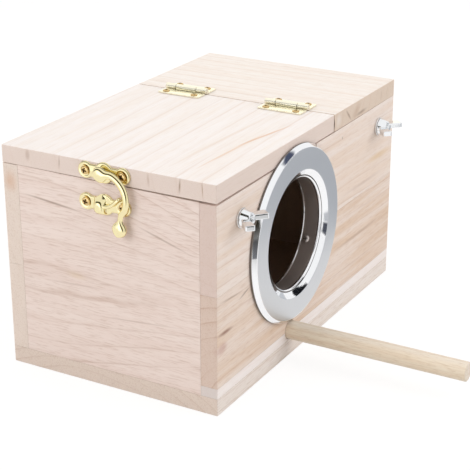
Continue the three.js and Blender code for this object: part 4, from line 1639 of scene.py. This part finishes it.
@dataclass(frozen=True)
class Ribbon(Card):
    """A card bent so that the latch's skin mirrors it wherever it tips off its seat by a slope.

    rise and high are the slope's middle and range, and turn and wide the ways that it tips, from
    the seat's across to its up, so that a ribbon draws one line round every bulge.
    """

    def _ways(self, turn: Points, rise: Points) -> Points:
        """The ways v - 2 (v . n) n that skin with the normal n mirrors the camera's view v to.

        Args:
            turn: the ways that the skin tips.
            rise: how far it tips.

        Returns:
            The ways.
        """
        seat = latch_seat(0.0)
        tipped = np.stack([np.cos(turn) * np.sin(rise), np.sin(turn) * np.sin(rise), np.cos(rise)], -1)
        normal = tipped @ np.array([seat.across, seat.up, seat.out], float)
        view = np.array(self.spot) - np.array(CAMERA_PLACE)
        view /= np.linalg.norm(view)
        return view - 2 * (normal @ view)[..., None] * normal


@dataclass(frozen=True)
class FloorCard(Card):
    """A card that lies far millimetres over the floor, along the ways down to it from the spot."""

    def _reach(self, ways: Points) -> Points | float:
        """The way's length down to the card: the height between them over the way's fall."""
        return (self.far - self.spot[2]) / ways[..., 2:]


# The entrance ring mirrors the first six cards as its dark and grey bands. The card behind the
# roof brightens the hinges, and the ribbons draw the lines on the latch's castings
CARDS = (
    Card("card_high_front", (-33, -62, 111), -39, 42, 38, 17, 800, "#4e5468", 0.5),
    Card("card_low_right", (-24, -62, 35), -39, 13, 27, 10, 800, "#17181c", 0.15),
    Card("card_front_dark", (8, -62, 61), -92, -9.5, 9, 8.5, 180, "#4c4f59", 0.2),
    Card("card_front_grey", (9, -62, 67), -91, -19, 9, 7, 160, "#c2c4c8", 0.3),
    Card("card_left", (-67, -62, 72), -128, -17, 12, 48, 240, "#8a8c92", 0.25),
    FloorCard("card_on_floor", (-23, -62, 113), -28, -21, 120, 32, 1.5, "#c8cbd0", 0.4),
    Card("card_behind_roof", (22, 0, 119), 29, 24, 50, 26, 500, "#fffbe8", 0.5, 1.3),
    Ribbon("ribbon_inner", (-103, -8, 103), 66, 30, 162, 10, 128, "#4b4630", 0.4),
    Ribbon("ribbon_outer", (-103, -8, 103), 66, 57, 162, 15, 130, "#2a271c", 0.4),
    Ribbon("ribbon_shine", (-103, -8, 103), 60, 17, 150, 18, 132, "#ffffff", 0.6, 2.0),
)


@dataclass
class Studio:
    """The pale floor, the soft lamps, the glowing dark and white cards that the polished metal mirrors,
    the camera.

    Each lamp is its name, its place and size in metres and its power in watts. ambient is how
    bright the surround is as a light, and floor_glow the part of the floor's white that is its own.
    """

    floor_size: float = 8.0
    floor_glow: float = 0.84
    ambient: float = 0.62
    lens: float = 106.0
    lamps: tuple[tuple, ...] = (
        ("overhead_soft_box", (0.1, 0.1, 1.3), 1.2, 3.2),
        ("left_soft_box", (-1.1, 0.5, 0.7), 0.8, 5.5),
        ("right_soft_box", (0.5, -1.2, 0.9), 1.2, 7.8),
    )

    def build(self) -> None:
        """Builds the whole studio."""
        self._build_world()
        self._build_floor()
        self._build_lamps()
        for card in CARDS:
            card.build()
        self._build_camera()

    @staticmethod
    def _seen(tree: Tree) -> Socket:
        """One where the eye sees a thing, also in metal or through glass, and nought for its light.

        Args:
            tree: a material's or the world's node tree.

        Returns:
            The output that gives it.
        """
        rays = add_node(tree, "LightPath").outputs
        seen = rays["Is Camera Ray"]
        for kind in ("Is Glossy Ray", "Is Transmission Ray"):
            seen = add_node(tree, "Math", [seen, rays[kind]], operation="MAXIMUM").outputs[0]
        return seen

    def _build_world(self) -> None:
        """A white surround: full white to the eye and in reflections, softer as a light."""
        world = bpy.data.worlds.new("white_surround")
        world.use_nodes = True
        tree = world.node_tree
        tree.nodes.clear()
        strength = add_node(tree, "MapRange", [self._seen(tree), 0.0, 1.0, self.ambient, 1.0])
        add_node(tree, "OutputWorld", [add_node(tree, "Background", [linear("#ffffff"), strength])])
        bpy.context.scene.world = world

    def _build_floor(self) -> None:
        """A white floor, mostly its own white to the eye, with the box's faint shadow on it."""
        half = self.floor_size / 2
        mesh = bpy.data.meshes.new("floor")
        corners = [(-half, -half, 0), (half, -half, 0), (half, half, 0), (-half, half, 0)]
        mesh.from_pydata(corners, [], [(0, 1, 2, 3)])
        # Matt white paper: it hides its edges in the surround, and only just shows the box's shadow
        material, tree = new_material("matt_white_paper")
        paper, shaded = (add_node(tree, "BsdfDiffuse", [linear(c)]) for c in ("#d8d6d4", "#7c7a78"))
        glow = add_node(tree, "Emission", [linear("#ffffff"), self.floor_glow])
        bright = add_node(tree, "AddShader", [shaded, glow])
        mixed = add_node(tree, "MixShader", [self._seen(tree), paper, bright])
        add_node(tree, "OutputMaterial", [mixed])
        mesh.materials.append(material)
        add_object("floor", mesh)

    def _build_lamps(self) -> None:
        """A wide soft box overhead and one each at the left and at the right, aimed at the box."""
        aim = Vector((0, 0, 0.06))
        for name, place, size, power in self.lamps:
            data = bpy.data.lights.new(name, "AREA")
            data.shape = "SQUARE"
            data.size = size
            data.energy = power
            lamp = add_object(name, data)
            lamp.location = place
            lamp.rotation_mode = "QUATERNION"
            lamp.rotation_quaternion = (aim - Vector(place)).to_track_quat("-Z", "Y")
            lamp.visible_glossy = False

    def _build_camera(self) -> None:
        """The camera, where the photograph's was."""
        data = bpy.data.cameras.new("camera")
        data.lens = self.lens
        data.sensor_width = 36.0
        data.clip_start, data.clip_end = 0.01, 20.0
        right = Vector((0.4882, -0.8727, 0.0))
        down = Vector((-0.32714, -0.18301, -0.92709))
        ahead = Vector((0.80910, 0.45260, -0.37485))
        turn = Matrix((right, -down, -ahead)).transposed()
        camera = add_object("camera", data)
        camera.matrix_world = Matrix.Translation(metres(CAMERA_PLACE)) @ turn.to_4x4()
        bpy.context.scene.camera = camera


def main() -> None:
    """Builds the nest box, its studio and its camera, in order."""
    logging.basicConfig(level=logging.INFO, format="%(name)s %(message)s")
    bpy.context.scene.view_settings.view_transform = "Standard"
    for board in BOARDS:
        board.build()
    Entrance().build()
    Perch().build()
    Clamp("latch_end", -77.4, 93.9, 6.0).build()
    Clamp("far_end", 79.4, 95.0, 5.0).build()
    Hinge("front", -32.4).build()
    Hinge("back", 28.8).build()
    Latch().build()
    Studio().build()


if __name__ == "__main__":
    main()
